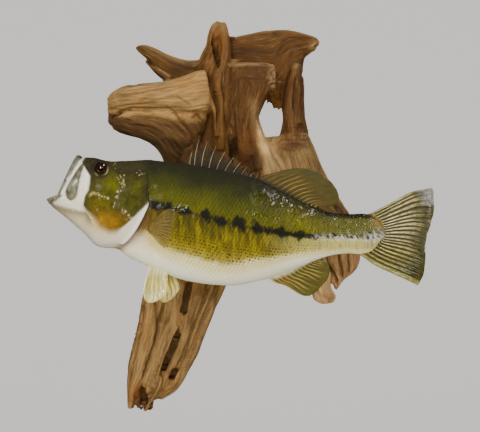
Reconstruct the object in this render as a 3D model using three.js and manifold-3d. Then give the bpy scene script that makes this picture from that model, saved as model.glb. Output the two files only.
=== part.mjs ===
// A largemouth bass in a museum mount: the fish faces -X with its mouth wide open, on driftwood that hangs on a wall.
// Millimetres, +Z up, +Y into the wall. The origin lies on the flat back of the wood, where it meets the wall.
import * as THREE from "three";
import { mergeVertices } from "three/addons/utils/BufferGeometryUtils.js";
import Module from "manifold-3d";

const wasm = await Module();
wasm.setup();

// ---------------------------------------------------------------- driving dimensions
const GAP = 0.3; // free space between neighbouring pieces
const SPINE_Y = -104; // middle plane of the fish
const TAIL_SWING = 20; // how far the end of the tail comes forward
const HEAD_SWING = 8; // how far the lips come forward
const SWING_CENTRE_X = -20;
const JAW_TIP_X = -253.3;
const TAIL_END_X = 254;
const FLESH_END_X = 189.5;
const LIP_TOP_X = -213.2;
const LIP_SIDE_X = -235.6; // where the lips of the two jaws meet
const UPRIGHT_X = -120; // behind this the slices of the body stand upright
const TAIL_STEM_X = 100; // where the trunk ends and the tail stem begins
const GILL_FLARE = 3; // how far the gill covers stand out
const FLESH_TUCK = 3; // how far the trunk draws in under the gill covers
const GILL_COVER_THICK = 5;
const EYE = { x: -180.8, z: 61.5, offset: 20.6, radius: 9, depth: 7.8 };
const FISH_SIDES = 22;
const FISH_SLICES = 27;
const MOUTH_SIDES = 16;
const WOOD_SIDES = 12;
const SIMPLIFY = 0.03; // slivers flatter than this are dropped
const WOOD_CLEAR = 0.4; // free space between the flank of the fish and the wood

// Outlines of the fish seen from its left side, [x, z], nose to tail.
const BACK = [
  [LIP_TOP_X, 79.6], [-205, 77.4], [-196, 76.8], [-188, 75.9], [-177, 72.6], [-155, 71.9], [-118, 73.2],
  [-70, 68.8], [-15, 58.4], [22, 49.2], [50, 36], [75, 22.5], [100, 11.2], [118, 5.2], [140, 2.6], [162, 2.8],
  [174, 0.5], [184, -9], [FLESH_END_X, -19],
];
const BELLY = [
  [JAW_TIP_X, 21.5], [-248, 14.2], [-226, -4], [-204, -23.5], [-190, -38], [-178, -42.2], [-160, -44.4],
  [-146, -54], [-118, -67.6], [-75, -84.5], [-17, -92], [22, -86.8], [50, -78], [84, -65.3], [101, -58.2],
  [118, -52.8], [140, -49.6], [160, -49.8], [172, -45.6], [183, -34], [FLESH_END_X, -24],
];
// Half-width of the fish, and height of its widest line, [x, mm].
const HALF_WIDTH = [
  [LIP_SIDE_X, 30], [-221, 32.5], [-190, 34], [-170, 36.5], [-150, 39], [-118, 41.5], [-95, 43], [-55, 45],
  [-17, 44], [22, 39.5], [50, 33.5], [84, 24.5], [117, 16.5], [138, 12.5], [157, 9.5], [174, 6.5], [FLESH_END_X, 2.6],
];
const WIDEST_Z = [
  [LIP_SIDE_X, 27.6], [-221, 23.5], [-190, 14], [-150, 8], [-118, 1], [-55, -9], [22, -14], [84, -18], [157, -23],
  [FLESH_END_X, -21.5],
];
// The open mouth: [top x, z], [side x, z, half-width], [bottom x, z], from just outside the lips to the throat.
const MOUTH = [
  [[-220, 79.5], [-241.5, 33.5, 27.5], [-252.4, 34]],
  [[-214.6, 75.6], [-235.6, 27.6, 27.5], [-249.4, 23.6]],
  [[-199, 64], [-213, 21, 28.5], [-229, 4.4]],
  [[-178, 50], [-187, 10, 25], [-202, -16.5]],
  [[-156, 36], [-160, 6, 16], [-172, -24]],
  [[-136, 16], [-138, 2, 5], [-146, -14]],
];
// The tongue: [x, z of its middle, half-width, half-height].
const TONGUE = [[-231, 12, 1.5, 1], [-226, 9.5, 7, 2.6], [-216, 2, 9, 3.6], [-203, -7, 9, 4], [-193, -13, 5, 2.5]];
// The rear edge of the gill covers with the nape above it, top to bottom.
const GILL_EDGE = [
  [-122, 100], [-122, 62], [-121, 38], [-117.6, 22], [-117.4, 15], [-122.2, 5], [-134, -17], [-146, -31.5],
  [-159, -42], [-163, -60],
];
// One gill cover, counter-clockwise from the throat.
const GILL_PLATE = [
  [-178, -60], ...[...GILL_EDGE].slice(2).reverse(), [-136, 52], [-152, 54], [-157, 36], [-156, 14], [-163, -8],
  [-176, -26],
];
const UPPER_JAW_EDGE = [[-198, 95], [-203, 74], [-209, 48], [-214.5, 23], [-226, 21], [-238, 26], [-262, 34]];
const LOWER_JAW_EDGE = [[-226, 21], [-214.5, 20.5], [-205, 11.5], [-191, -4], [-184, -30], [-180, -60]];

// Fins, [x, z]: root on the body, first ray, line of the tips, last ray. `rays` counts the raised rays.
const TAIL_FIN = {
  rays: 7,
  root: [[169, 3.2], [184, -8], [187, -21.5], [180, -36], [156.1, -50.3]],
  first: [[169, 3.2], [177.7, 7], [201.3, 19.5], [223.2, 31.2], [241.7, 35.4], [251.8, 37.1]],
  tips: [
    [251.8, 37.1], [254, 27.6], [253.5, 6.1], [250, -9.2], [244.8, -24.2], [241.7, -40.8], [242.5, -51.1],
    [241.7, -66.2], [240, -77.9], [233.3, -91.3],
  ],
  last: [[156.1, -50.3], [164.5, -56.1], [177.7, -65.3], [201.3, -76.3], [223.2, -86.3], [233.3, -91.3]],
};
const SOFT_DORSAL = {
  rays: 6,
  root: [[19, 47], [50, 33], [75, 19], [99, 8]],
  first: [[19, 47], [34.2, 54.2], [46.7, 57.6], [58.4, 60.9], [71.9, 63]],
  tips: [
    [71.9, 63], [84.5, 63], [95.4, 60.5], [105.5, 55.9], [115.5, 49.2], [123, 41.7], [128.2, 33.3], [130.3, 25.7],
    [129.8, 19.9], [126.3, 15.7],
  ],
  last: [[99, 8], [103, 12.8], [109.6, 13.2], [118, 13.9], [126.3, 15.7]],
};
const ANAL = {
  rays: 5,
  root: [[100, -53], [80, -62], [58, -72], [33, -80]],
  first: [[100, -53], [103.5, -58.6], [107.4, -59.5], [115.8, -61.1]],
  tips: [[115.8, -61.1], [118.4, -67.9], [115.8, -81.3], [107.4, -93], [94, -104], [87.3, -106.5]],
  last: [[33, -80], [45, -88], [58.7, -92.1], [77.2, -103], [87.3, -106.5]],
};
const PECTORAL = {
  rays: 5,
  root: [[-118, -10], [-119.5, -15], [-117.5, -21]],
  first: [[-118, -10], [-109.2, -3.5], [-98.2, 6.3], [-90.8, 10]],
  tips: [[-90.8, 10], [-84.2, 8.2], [-83.3, 0], [-84.2, -15], [-87.9, -27], [-92.6, -35.3], [-96.3, -42.6]],
  last: [[-117.5, -21], [-112.9, -26.1], [-104.6, -35.3], [-96.3, -42.6]],
};
const PELVIC = {
  rays: 3,
  root: [[-117, -62], [-108, -66], [-94, -72]],
  first: [[-117, -62], [-123.7, -83.6], [-126.1, -96.5], [-124.6, -109.2]],
  tips: [[-124.6, -109.2], [-119.1, -113.6], [-108, -111.2], [-98.8, -103.8]],
  last: [[-94, -72], [-94.8, -82], [-94.4, -97.4], [-98.8, -103.8]],
};
// Foot and tip of each spine of the front dorsal fin, and how far down the skin between two spines dips.
const SPINES = [
  [[-66.5, 62], [-63.2, 84.2]], [[-60.5, 62], [-54, 100]], [[-51.3, 60], [-43.4, 97.4]], [[-42.1, 58], [-31.6, 92.1]],
  [[-32.9, 56], [-19.7, 84.2]], [[-22.4, 54], [-7.9, 77.6]], [[-11.8, 52], [1.3, 71.1]], [[-1.3, 49], [9.2, 64.5]],
  [[9.2, 46], [18.4, 57.9]], [[17, 45], [22.5, 52]],
];
const SPINE_NOTCH = 0.36;

// Limbs of the driftwood: edge [x, z], opposite edge [x, z], front y, back y, from root to tip.
const WOOD = {
  wood_core: [
    [[-58, 160], [6, 160], -34, -4], [[-72, 128], [10, 128], -42, 5], [[-92, 92], [26, 92], -52, 8], [[-98, 50], [40, 50], -61, 8],
    [[-98, 0], [44, 0], -62, 8], [[-96, -45], [20, -45], -60, 8], [[-88, -76], [-16, -76], -48, 6],
  ],
  wood_left_block: [
    [[-179.4, 160], [-178.6, 127], -62, -28], [[-168.3, 172.4], [-167, 115.4], -72, -18],
    [[-149.3, 179.2], [-143.9, 107.2], -78, -12], [[-119.5, 181.9], [-122.2, 99.1], -80, -8],
    [[-89.6, 186], [-108.6, 85.5], -80, -6], [[-54.3, 194.1], [-97.7, 62.4], -76, -4],
    [[-28, 172], [-78, 40], -60, -2],
  ],
  wood_spike: [
    [[-38, 69.3], [-5.4, 69.3], -62, -5], [[-36.7, 123.6], [-12.2, 123.6], -70, -15],
    [[-42.1, 171.2], [-13.6, 171.2], -72, -18], [[-51.6, 209.3], [-16.3, 209.3], -66, -16],
    [[-46.2, 232.3], [-14.9, 232.3], -56, -14], [[-42.1, 250], [-19, 251.4], -46, -14],
    [[-35.3, 262.2], [-21.1, 262.9], -38, -16], [[-29.2, 265.6], [-27.9, 265.6], -29, -25],
  ],
  wood_left_horn: [
    [[-40, 216], [-50, 180], -40, -6], [[-68.5, 212.2], [-89, 183.5], -39, -7],
    [[-93.1, 218.4], [-106.8, 198.5], -38, -9], [[-115, 229.4], [-123.2, 210.9], -37, -10],
    [[-130.1, 234.8], [-135.6, 220.5], -35, -12], [[-139.7, 233.5], [-142.4, 227.3], -30, -17],
    [[-143.4, 231], [-143.4, 229.6], -25, -22],
  ],
  wood_centre_block: [
    [[-3, 204.5], [33, 207], -80, -38], [[-13, 190.2], [44.5, 194.2], -88, -30],
    [[-16, 172.7], [40.5, 178.1], -86, -24], [[-16, 151.1], [25.6, 151.1], -80, -18],
    [[-14, 129.5], [21.6, 132.2], -74, -10], [[-5.4, 102.5], [24.3, 102.5], -66, -6],
    [[-5.4, 68.8], [37.8, 68.8], -60, -5],
  ],
  wood_wing: [
    [[-24.7, 241.7], [-19.2, 193.6], -30, -6], [[1.4, 249], [13.7, 179.9], -32, -5],
    [[35.7, 255], [51, 154], -32, -5], [[65.9, 256.1], [72.8, 203.2], -31, -6],
    [[89.3, 251], [89.3, 218.3], -29, -8], [[104.4, 245.8], [104.4, 229.3], -26, -11],
    [[109.9, 239.2], [109.9, 237.4], -19, -17],
  ],
  wood_right_limb: [
    [[62, 214], [90, 222], -32, -7], [[66.5, 197.4], [86.3, 202.9], -38, -6], [[60.3, 175.4], [87, 180.9], -42, -5],
    [[58.3, 152.1], [87.7, 156.2], -44, -5], [[58.9, 128.8], [89.8, 128.8], -46, -5],
    [[49.3, 96], [98, 96], -50, -5],
  ],
  wood_right_sweep: [
    [[34, 108], [94, 112], -46, -5], [[26, 92], [103.9, 92], -56, -4], [[24.6, 56], [117.5, 57.4], -58, -4],
    [[38.3, 21.9], [133.9, 27.3], -54, -4], [[68.3, -16.4], [150.3, 2.7], -48, -4],
    [[86, -42], [161.3, -27.3], -44, -4], [[92, -57], [164.5, -50], -40, -6],
  ],
  wood_tail_lobe: [
    [[100, -44], [164.5, -40], -40, -6], [[108, -66], [165.4, -57.4], -40, -6], [[123, -80.6], [159.9, -73.8], -36, -8],
    [[127.1, -92.9], [143.5, -87.5], -31, -12], [[129.8, -99.8], [133.9, -101.1], -24, -18],
  ],
  wood_low_lobe: [
    [[92, -46], [124, -44], -46, -10], [[92, -66], [125.7, -66], -48, -12], [[97, -87.5], [124.4, -84.7], -48, -12],
    [[97.7, -105.2], [125, -98.4], -46, -12], [[101.1, -114.8], [131.2, -109.3], -42, -16],
    [[110.7, -120.9], [127.1, -118.2], -34, -24],
  ],
  wood_leg: [
    [[-100, -30], [-16, -44], -46, -2], [[-122.8, -70.9], [-15, -76.4], -54, -3],
    [[-134.4, -115.9], [-29.3, -115.9], -58, -5], [[-139.1, -144.6], [-41.3, -144.6], -60, -7],
    [[-147.3, -176], [-53.2, -176.8], -60, -9], [[-153.3, -204.6], [-65.5, -204.6], -58, -11],
    [[-153.7, -226.4], [-79.1, -226.4], -54, -13], [[-152.4, -245.5], [-102.3, -246.2], -48, -16],
    [[-150, -256.4], [-120, -253.7], -40, -22], [[-136.4, -264.6], [-133.7, -264.6], -32, -28],
  ],
};

// ---------------------------------------------------------------- numbers and curves
const clamp01 = (t) => Math.min(1, Math.max(0, t));
const ease = (t) => clamp01(t) ** 2 * (3 - 2 * clamp01(t));
const mix = (a, b, t) => a + (b - a) * t;

// A smooth function through [x, value] pairs.
function through(pairs) {
  const slope = (i) => {
    const before = pairs[Math.max(0, i - 1)];
    const after = pairs[Math.min(pairs.length - 1, i + 1)];
    return (after[1] - before[1]) / (after[0] - before[0]);
  };
  return (x) => {
    let i = 0;
    while (i < pairs.length - 2 && x > pairs[i + 1][0]) i++;
    const [[x0, v0], [x1, v1]] = [pairs[i], pairs[i + 1]];
    const t = clamp01((x - x0) / (x1 - x0));
    const [m0, m1] = [slope(i) * (x1 - x0), slope(i + 1) * (x1 - x0)];
    const rise = 3 * t ** 2 - 2 * t ** 3;
    return (1 - rise) * v0 + rise * v1 + (t ** 3 - 2 * t ** 2 + t) * m0 + (t ** 3 - t ** 2) * m1;
  };
}

// A flat curve through [x, z] points, read at t from 0 to 1 as a Vector2.
function curve(points) {
  const line = new THREE.CatmullRomCurve3(points.map(([x, z]) => new THREE.Vector3(x, 0, z)), false, "catmullrom", 0.5);
  return (t) => {
    const p = line.getPoint(t);
    return new THREE.Vector2(p.x, p.z);
  };
}

const backZ = through(BACK);
const bellyZ = through(BELLY);
const halfWidth = through(HALF_WIDTH);
const widestZ = through(WIDEST_Z);

// The middle plane of the fish, swung forward at the head and the tail.
function spineY(x) {
  const towardsTail = Math.max(0, x - SWING_CENTRE_X) / (TAIL_END_X - SWING_CENTRE_X);
  const towardsHead = Math.max(0, SWING_CENTRE_X - x) / (SWING_CENTRE_X - JAW_TIP_X);
  return SPINE_Y - TAIL_SWING * towardsTail ** 2 - HEAD_SWING * towardsHead ** 2;
}

// ---------------------------------------------------------------- solids
function manifoldOf(vertProperties, triVerts) {
  return new wasm.Manifold(new wasm.Mesh({ numProp: 3, vertProperties, triVerts }));
}

// A solid from points and triangles, turned so that its faces look outwards.
function solid(points, triangles) {
  const places = new Float32Array(points.flatMap((p) => [p.x, p.y, p.z]));
  const made = manifoldOf(places, new Uint32Array(triangles.flat()));
  if (made.volume() > 0) return made;
  return manifoldOf(places, new Uint32Array(triangles.flatMap(([a, b, c]) => [a, c, b])));
}

function solidOf(geometry) {
  geometry.deleteAttribute("normal");
  geometry.deleteAttribute("uv");
  const merged = mergeVertices(geometry, 1e-4);
  return manifoldOf(merged.attributes.position.array, new Uint32Array(merged.index.array));
}

// Rings of equally many points, joined one to the next and closed at both ends.
function loft(rings) {
  const n = rings[0].length;
  const points = rings.flat();
  const triangles = [];
  for (let i = 0; i < rings.length - 1; i++)
    for (let j = 0; j < n; j++) {
      const [a, b] = [i * n + j, i * n + ((j + 1) % n)];
      triangles.push([a, b, b + n], [a, b + n, a + n]);
    }
  for (const start of [0, points.length - n]) {
    const ring = start ? rings.at(-1) : rings[0];
    const centre = points.length;
    points.push(ring.reduce((sum, p) => sum.add(p), new THREE.Vector3()).divideScalar(n));
    for (let j = 0; j < n; j++) {
      const [a, b] = [start + j, start + ((j + 1) % n)];
      triangles.push(start ? [centre, a, b] : [centre, b, a]);
    }
  }
  return solid(points, triangles);
}

// A thin plate between two grids of points, one for each face.
function plate(front, back) {
  const [rows, columns] = [front.length, front[0].length];
  const at = (side, i, j) => (side * rows + i) * columns + j;
  const triangles = [];
  const quad = (a, b, c, d) => triangles.push([a, b, c], [a, c, d]);
  for (let i = 0; i < rows - 1; i++)
    for (let j = 0; j < columns - 1; j++) {
      quad(at(0, i, j), at(0, i, j + 1), at(0, i + 1, j + 1), at(0, i + 1, j));
      quad(at(1, i + 1, j), at(1, i + 1, j + 1), at(1, i, j + 1), at(1, i, j));
    }
  const [r, c] = [rows - 1, columns - 1];
  for (let i = 0; i < r; i++) {
    quad(at(0, i + 1, 0), at(1, i + 1, 0), at(1, i, 0), at(0, i, 0));
    quad(at(0, i, c), at(1, i, c), at(1, i + 1, c), at(0, i + 1, c));
  }
  for (let j = 0; j < c; j++) {
    quad(at(0, 0, j), at(1, 0, j), at(1, 0, j + 1), at(0, 0, j + 1));
    quad(at(0, r, j + 1), at(1, r, j + 1), at(1, r, j), at(0, r, j));
  }
  return solid([...front.flat(), ...back.flat()], triangles);
}

// A flat outline [x, z] pushed through Y.
function prism(outline, yFront = -260, yBack = 60) {
  const shape = new THREE.Shape(outline.map(([x, z]) => new THREE.Vector2(x, z)));
  const geometry = new THREE.ExtrudeGeometry(shape, { depth: yBack - yFront, bevelEnabled: false });
  return solidOf(geometry.rotateX(Math.PI / 2).translate(0, yBack, 0));
}

// A thin wall along a line [x, z], to part two pieces.
function parting(line) {
  const side = (sign) => line.map(([x, z], i) => {
    const [a, b] = [line[Math.max(0, i - 1)], line[Math.min(line.length - 1, i + 1)]];
    const reach = (sign * GAP) / 2 / Math.hypot(b[0] - a[0], b[1] - a[1]);
    return [x - reach * (b[1] - a[1]), z + reach * (b[0] - a[0])];
  });
  return prism([...side(1), ...side(-1).reverse()]);
}

// A counter-clockwise outline grown outwards all round.
function grown(outline, by) {
  const n = outline.length;
  return outline.map(([x, z], i) => {
    const [a, b] = [outline[(i + n - 1) % n], outline[(i + 1) % n]];
    const reach = by / Math.hypot(b[0] - a[0], b[1] - a[1]);
    return [x + reach * (b[1] - a[1]), z - reach * (b[0] - a[0])];
  });
}

function ellipsoid(x, y, z, rx, ry, rz) {
  const geometry = new THREE.SphereGeometry(1, 12, 8).rotateX(Math.PI / 2);
  return solidOf(geometry.scale(rx, ry, rz).translate(x, y, z));
}

const together = (list) => wasm.Manifold.union(list);
const largest = (made) => made.decompose().sort((a, b) => b.volume() - a.volume())[0];

// The body of a parted solid whose middle lies nearest a point.
function nearest(made, x, y, z) {
  const distance = (body) => {
    const { min, max } = body.boundingBox();
    return Math.hypot((min[0] + max[0]) / 2 - x, (min[1] + max[1]) / 2 - y, (min[2] + max[2]) / 2 - z);
  };
  return made.decompose().filter((body) => body.volume() > 50).sort((a, b) => distance(a) - distance(b))[0];
}

// ---------------------------------------------------------------- flesh
// One closed slice of the fish. Near the lips its upper and lower halves lean apart, as open jaws do.
function slice(xSide, inset, part) {
  const upright = ease((xSide - LIP_SIDE_X) / (UPRIGHT_X - LIP_SIDE_X));
  const xTop = xSide + mix(LIP_TOP_X - LIP_SIDE_X, 0, upright);
  const xBottom = xSide + mix(JAW_TIP_X - LIP_SIDE_X, 0, upright);
  const gills = ease((xSide + 180) / 30) * ease((-80 - xSide) / 40);
  const width = Math.max(0.8, halfWidth(xSide) + (part === "head" ? GILL_FLARE : -FLESH_TUCK) * gills - inset);
  const boxy = mix(0.74, 0.92, ease((xSide + 200) / 120));
  const ring = [];
  for (let j = 0; j < FISH_SIDES; j++) {
    const angle = (2 * Math.PI * j) / FISH_SIDES;
    const [c, s] = [Math.cos(angle), Math.sin(angle)];
    const upper = c >= 0;
    const power = upper ? boxy : 0.92;
    const height = Math.abs(c) ** power;
    const x = mix(xSide, upper ? xTop : xBottom, height);
    const zEnd = upper ? backZ(xTop) - inset : bellyZ(xBottom) + inset;
    ring.push(new THREE.Vector3(x, spineY(x) - Math.sign(s) * Math.abs(s) ** power * width, mix(widestZ(xSide), zEnd, height)));
  }
  return ring;
}

function flesh(part, inset = 0) {
  const rings = [];
  for (let i = 0; i <= FISH_SLICES; i++) rings.push(slice(mix(LIP_SIDE_X, FLESH_END_X, i / FISH_SLICES), inset, part));
  return loft(rings);
}

// The hollow of the mouth; `shrink` draws its floor and roof in.
function mouth(shrink = 0) {
  return loft(MOUTH.map(([[xTop, zTop], [xSide, zSide, width], [xBottom, zBottom]]) => {
    const ring = [];
    for (let j = 0; j < MOUTH_SIDES; j++) {
      const angle = (2 * Math.PI * j) / MOUTH_SIDES;
      const [c, s] = [Math.cos(angle), Math.sin(angle)];
      const height = Math.abs(c) ** 0.9;
      const x = mix(xSide, c >= 0 ? xTop : xBottom, height);
      const y = spineY(x) - Math.sign(s) * Math.abs(s) ** 0.9 * (width - shrink);
      ring.push(new THREE.Vector3(x, y, mix(zSide, c >= 0 ? zTop - shrink : zBottom + shrink, height)));
    }
    return ring;
  }));
}

function tongue() {
  return loft(TONGUE.map(([x, z, halfW, halfH]) => {
    const ring = [];
    for (let j = 0; j < 12; j++) {
      const angle = (2 * Math.PI * j) / 12;
      ring.push(new THREE.Vector3(x - 3 * Math.cos(angle), spineY(x) - Math.sin(angle) * halfW, z + Math.cos(angle) * halfH));
    }
    return ring;
  }));
}

function eye(side, extra = 0) {
  const y = spineY(EYE.x) + side * EYE.offset;
  return ellipsoid(EYE.x, y, EYE.z, EYE.radius + extra, EYE.depth + extra, EYE.radius + extra);
}

const headSide = prism([[-300, 120], ...GILL_EDGE.map(([x, z]) => [x - GAP, z]), [-163, -120], [-300, -120]]);
const tailSide = prism([[300, 120], ...GILL_EDGE, [-163, -120], [300, -120]]);

// Skull, jaws and gill covers.
function headPieces() {
  const outer = flesh("head");
  const shell = outer.subtract(flesh("head", GILL_COVER_THICK));
  const around = flesh("head", -1).subtract(flesh("head", GILL_COVER_THICK + GAP));
  const room = around.intersect(prism(grown(GILL_PLATE, 2 * GAP)));
  const covers = shell.intersect(headSide).intersect(prism(GILL_PLATE));
  const chin = parting([[-200, 0], [-60, 0]]).rotate([90, 0, 0]).translate([0, spineY(-160), 0]);
  const parted = covers.subtract(chin);
  const cuts = together([mouth(), eye(-1, GAP), eye(1, GAP), room, parting(UPPER_JAW_EDGE), parting(LOWER_JAW_EDGE)]);
  const skull = outer.intersect(headSide).subtract(cuts);
  return {
    head: nearest(skull, -170, SPINE_Y, 20),
    upper_jaw: nearest(skull, -220, SPINE_Y, 55),
    lower_jaw: nearest(skull, -225, SPINE_Y, -10),
    gill_cover_left: nearest(parted, -145, SPINE_Y - 60, 0),
    gill_cover_right: nearest(parted, -145, SPINE_Y + 60, 0),
  };
}

function trunkPieces() {
  const whole = flesh("trunk").intersect(tailSide).subtract(parting([[TAIL_STEM_X, 80], [TAIL_STEM_X, -120]]));
  return { trunk: nearest(whole, 0, SPINE_Y, 0), tail_stem: nearest(whole, 150, SPINE_Y, -20) };
}

// ---------------------------------------------------------------- fins
// A patch spanned by four edge curves: u runs from the first ray to the last, v from root to tip.
function patch({ root, first, tips, last }) {
  const [low, start, high, end] = [root, first, tips, last].map(curve);
  return (u, v) => {
    const p = start(v).multiplyScalar(1 - u).addScaledVector(end(v), u);
    p.addScaledVector(low(u), 1 - v).addScaledVector(high(u), v);
    p.addScaledVector(low(0), -(1 - u) * (1 - v)).addScaledVector(low(1), -u * (1 - v));
    return p.addScaledVector(high(0), -(1 - u) * v).addScaledVector(high(1), -u * v);
  };
}

// A fin with raised rays. `middle(x, z, u, v)` gives the y of its middle layer, `thick` its depth at root and edge.
function fin(shape, middle, thick, steps = 4) {
  const place = patch(shape);
  const faces = [[], []];
  for (let i = 0; i <= 2 * shape.rays; i++) {
    const u = i / (2 * shape.rays);
    const ray = i % 2 ? 1 : 0.62;
    faces.forEach((face) => face.push([]));
    for (let k = 0; k <= steps; k++) {
      const v = k / steps;
      const { x, y: z } = place(u, v);
      const half = (mix(thick[0], thick[1], v) * ray) / 2;
      faces.forEach((face, side) => face[i].push(new THREE.Vector3(x, middle(x, z, u, v) + (side ? half : -half), z)));
    }
  }
  return plate(...faces);
}

const upright = (x) => spineY(x);

// The front dorsal fin: spines with thinner skin hung between them.
function spinyDorsal() {
  const rows = [];
  SPINES.forEach(([foot, tip], i) => {
    rows.push([foot, tip, 2]);
    if (i === SPINES.length - 1) return;
    const [nextFoot, nextTip] = SPINES[i + 1];
    const middleFoot = [(foot[0] + nextFoot[0]) / 2, (foot[1] + nextFoot[1]) / 2];
    const middleTip = [0, 1].map((k) => mix((tip[k] + nextTip[k]) / 2, middleFoot[k], SPINE_NOTCH * 0.6));
    rows.push([middleFoot, middleTip, 1.2]);
  });
  const faces = [-1, 1].map((side) => rows.map(([foot, tip, thick]) => [0, 0.5, 1].map((v) => {
    const x = mix(foot[0], tip[0], v);
    return new THREE.Vector3(x, spineY(x) + (side * thick * mix(1, 0.5, v)) / 2, mix(foot[1], tip[1], v));
  })));
  return plate(...faces);
}

// How far the flank stands out from the middle plane at a place.
function flank(x, z) {
  const low = z < widestZ(x);
  const height = clamp01((z - widestZ(x)) / ((low ? bellyZ(x) : backZ(x)) - widestZ(x)));
  const c = height ** (1 / 0.92);
  return Math.sqrt(Math.max(0, 1 - c * c)) ** 0.92 * (halfWidth(x) - FLESH_TUCK * ease((-80 - x) / 40));
}

// Side fins: side -1 is the fish's left, which faces the room.
function pectoral(side, spread) {
  const y = (x, z, u, v) => spineY(x) + side * (mix(flank(-112, z * 0.6 - 6), flank(-95, -15), v) - 1.5 + spread * v);
  return fin(PECTORAL, y, [2.6, 1]);
}

function pelvic(side) {
  const shape = side < 0 ? PELVIC : turnedBack(PELVIC, [-106, -70], 0.2, 9);
  return fin(shape, (x, z, u, v) => spineY(-106) + side * mix(10, 19, v), [3.4, 1.2]);
}

// A fin swung backwards about its root, then moved along the fish.
function turnedBack(shape, [cx, cz], angle, shift) {
  const turn = ([x, z]) => {
    const [dx, dz] = [x - cx, z - cz];
    const bite = angle * ease(-dz / 20);
    return [cx + dx * Math.cos(bite) - dz * Math.sin(bite) + shift, cz + dx * Math.sin(bite) + dz * Math.cos(bite)];
  };
  const turned = { rays: shape.rays };
  for (const edge of ["root", "first", "tips", "last"]) turned[edge] = shape[edge].map(turn);
  return turned;
}

function finPieces() {
  const pieces = {
    tail_fin: fin(TAIL_FIN, upright, [5, 1.1], 4),
    spiny_dorsal_fin: spinyDorsal(),
    soft_dorsal_fin: fin(SOFT_DORSAL, upright, [3.4, 1.1]),
    anal_fin: fin(ANAL, upright, [3.4, 1.1]),
    pectoral_fin_left: pectoral(-1, 11),
    pectoral_fin_right: pectoral(1, 5),
    pelvic_fin_left: pelvic(-1),
    pelvic_fin_right: pelvic(1),
  };
  const body = together([flesh("head", -GAP).intersect(headSide), flesh("trunk", -GAP)]);
  for (const name of Object.keys(pieces)) pieces[name] = largest(pieces[name].subtract(body));
  pieces.spiny_dorsal_fin = largest(pieces.spiny_dorsal_fin.subtract(prism([[21, 0], [40, 0], [40, 80], [21, 80]])));
  pieces.soft_dorsal_fin = largest(pieces.soft_dorsal_fin.subtract(prism([[0, 0], [21.4, 0], [21.4, 80], [0, 80]])));
  return pieces;
}

// ---------------------------------------------------------------- driftwood
// One limb: rounded slices with long ridges, as weathered wood has along its grain.
function limb(stations, seed, extra = 0) {
  const line = (pick) => new THREE.CatmullRomCurve3(stations.map(pick), false, "catmullrom", 0.5);
  const a = line(([[x, z]]) => new THREE.Vector3(x, 0, z));
  const b = line(([, [x, z]]) => new THREE.Vector3(x, 0, z));
  const depth = line(([, , front, back]) => new THREE.Vector3(front, 0, back));
  const slices = Math.round(1.4 * (stations.length - 1));
  const rings = [];
  for (let i = 0; i <= slices; i++) {
    const t = i / slices;
    const [p, q, d] = [a, b, depth].map((c) => c.getPoint(t));
    const across = p.clone().sub(q);
    const half = across.length() / 2 + extra;
    across.normalize();
    const centre = p.add(q).multiplyScalar(0.5);
    const ring = [];
    for (let j = 0; j < WOOD_SIDES; j++) {
      const angle = (2 * Math.PI * j) / WOOD_SIDES;
      const ridge = 1 - 0.045 * (1 + Math.sin(5 * angle + seed + 2.2 * t)) * Math.abs(Math.sin(angle));
      const deep = (d.z - d.x) / 2 + extra;
      const [c, s] = [Math.cos(angle), Math.sin(angle)];
      const point = centre.clone().addScaledVector(across, Math.sign(c) * Math.abs(c) ** 0.85 * half);
      point.y = (d.x + d.z) / 2 - Math.sign(s) * Math.abs(s) ** 0.8 * deep * ridge;
      ring.push(point);
    }
    rings.push(ring);
  }
  return loft(rings);
}

function woodPieces() {
  const wall = solidOf(new THREE.BoxGeometry(600, 60, 700).translate(0, 30, 0));
  const fish = together([flesh("head", -WOOD_CLEAR), flesh("trunk", -WOOD_CLEAR)]);
  const taken = [wall, fish];
  const pieces = {};
  Object.entries(WOOD).forEach(([name, stations], seed) => {
    pieces[name] = largest(limb(stations, seed).subtract(together(taken)));
    taken.push(limb(stations, seed, GAP));
  });
  return pieces;
}

// ---------------------------------------------------------------- the part
const finish = (r, g, b, roughness) =>
  new THREE.MeshStandardMaterial({ color: new THREE.Color(r, g, b), roughness, metalness: 0 });
const FINISH = {
  skin: finish(0.19, 0.2, 0.045, 0.25),
  fin: finish(0.3, 0.27, 0.08, 0.35),
  lining: finish(0.75, 0.7, 0.62, 0.35),
  eye: finish(0.05, 0.02, 0.012, 0.08),
  wood: finish(0.5, 0.33, 0.17, 0.7),
};

const bass = new THREE.Group();
function add(name, made, material) {
  const { vertProperties, triVerts, numProp } = made.simplify(SIMPLIFY).getMesh();
  const places = new Float32Array((vertProperties.length / numProp) * 3);
  for (let i = 0; i < places.length / 3; i++) places.set(vertProperties.subarray(i * numProp, i * numProp + 3), i * 3);
  const geometry = new THREE.BufferGeometry();
  geometry.setAttribute("position", new THREE.BufferAttribute(places, 3));
  geometry.setIndex(new THREE.BufferAttribute(triVerts, 1));
  geometry.computeVertexNormals();
  const mesh = new THREE.Mesh(geometry, FINISH[material]);
  mesh.name = name;
  mesh.userData = {};
  bass.add(mesh);
}

const groups = [
  [headPieces(), "skin"],
  [trunkPieces(), "skin"],
  [finPieces(), "fin"],
  [{ tongue: tongue().intersect(mouth(GAP)) }, "lining"],
  [{ eye_left: eye(-1), eye_right: eye(1) }, "eye"],
  [woodPieces(), "wood"],
];
for (const [pieces, material] of groups)
  for (const [name, made] of Object.entries(pieces)) add(name, made, material);

export default bass;
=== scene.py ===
# %% [markdown]
# # A mounted largemouth bass on driftwood
# The fish faces -X with its mouth wide open and shows its left side to the room. The wood hangs on a wall at
# y = 0. The real mount is a varnished skin on a foam form, with painted fins, glass eyes and a root of
# driftwood behind it. Each cell below makes one part of it and prints what it made. Sizes are in millimetres
# until a mesh is written.

import math

import bpy
import numpy as np
from mathutils import Matrix, Vector


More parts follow.
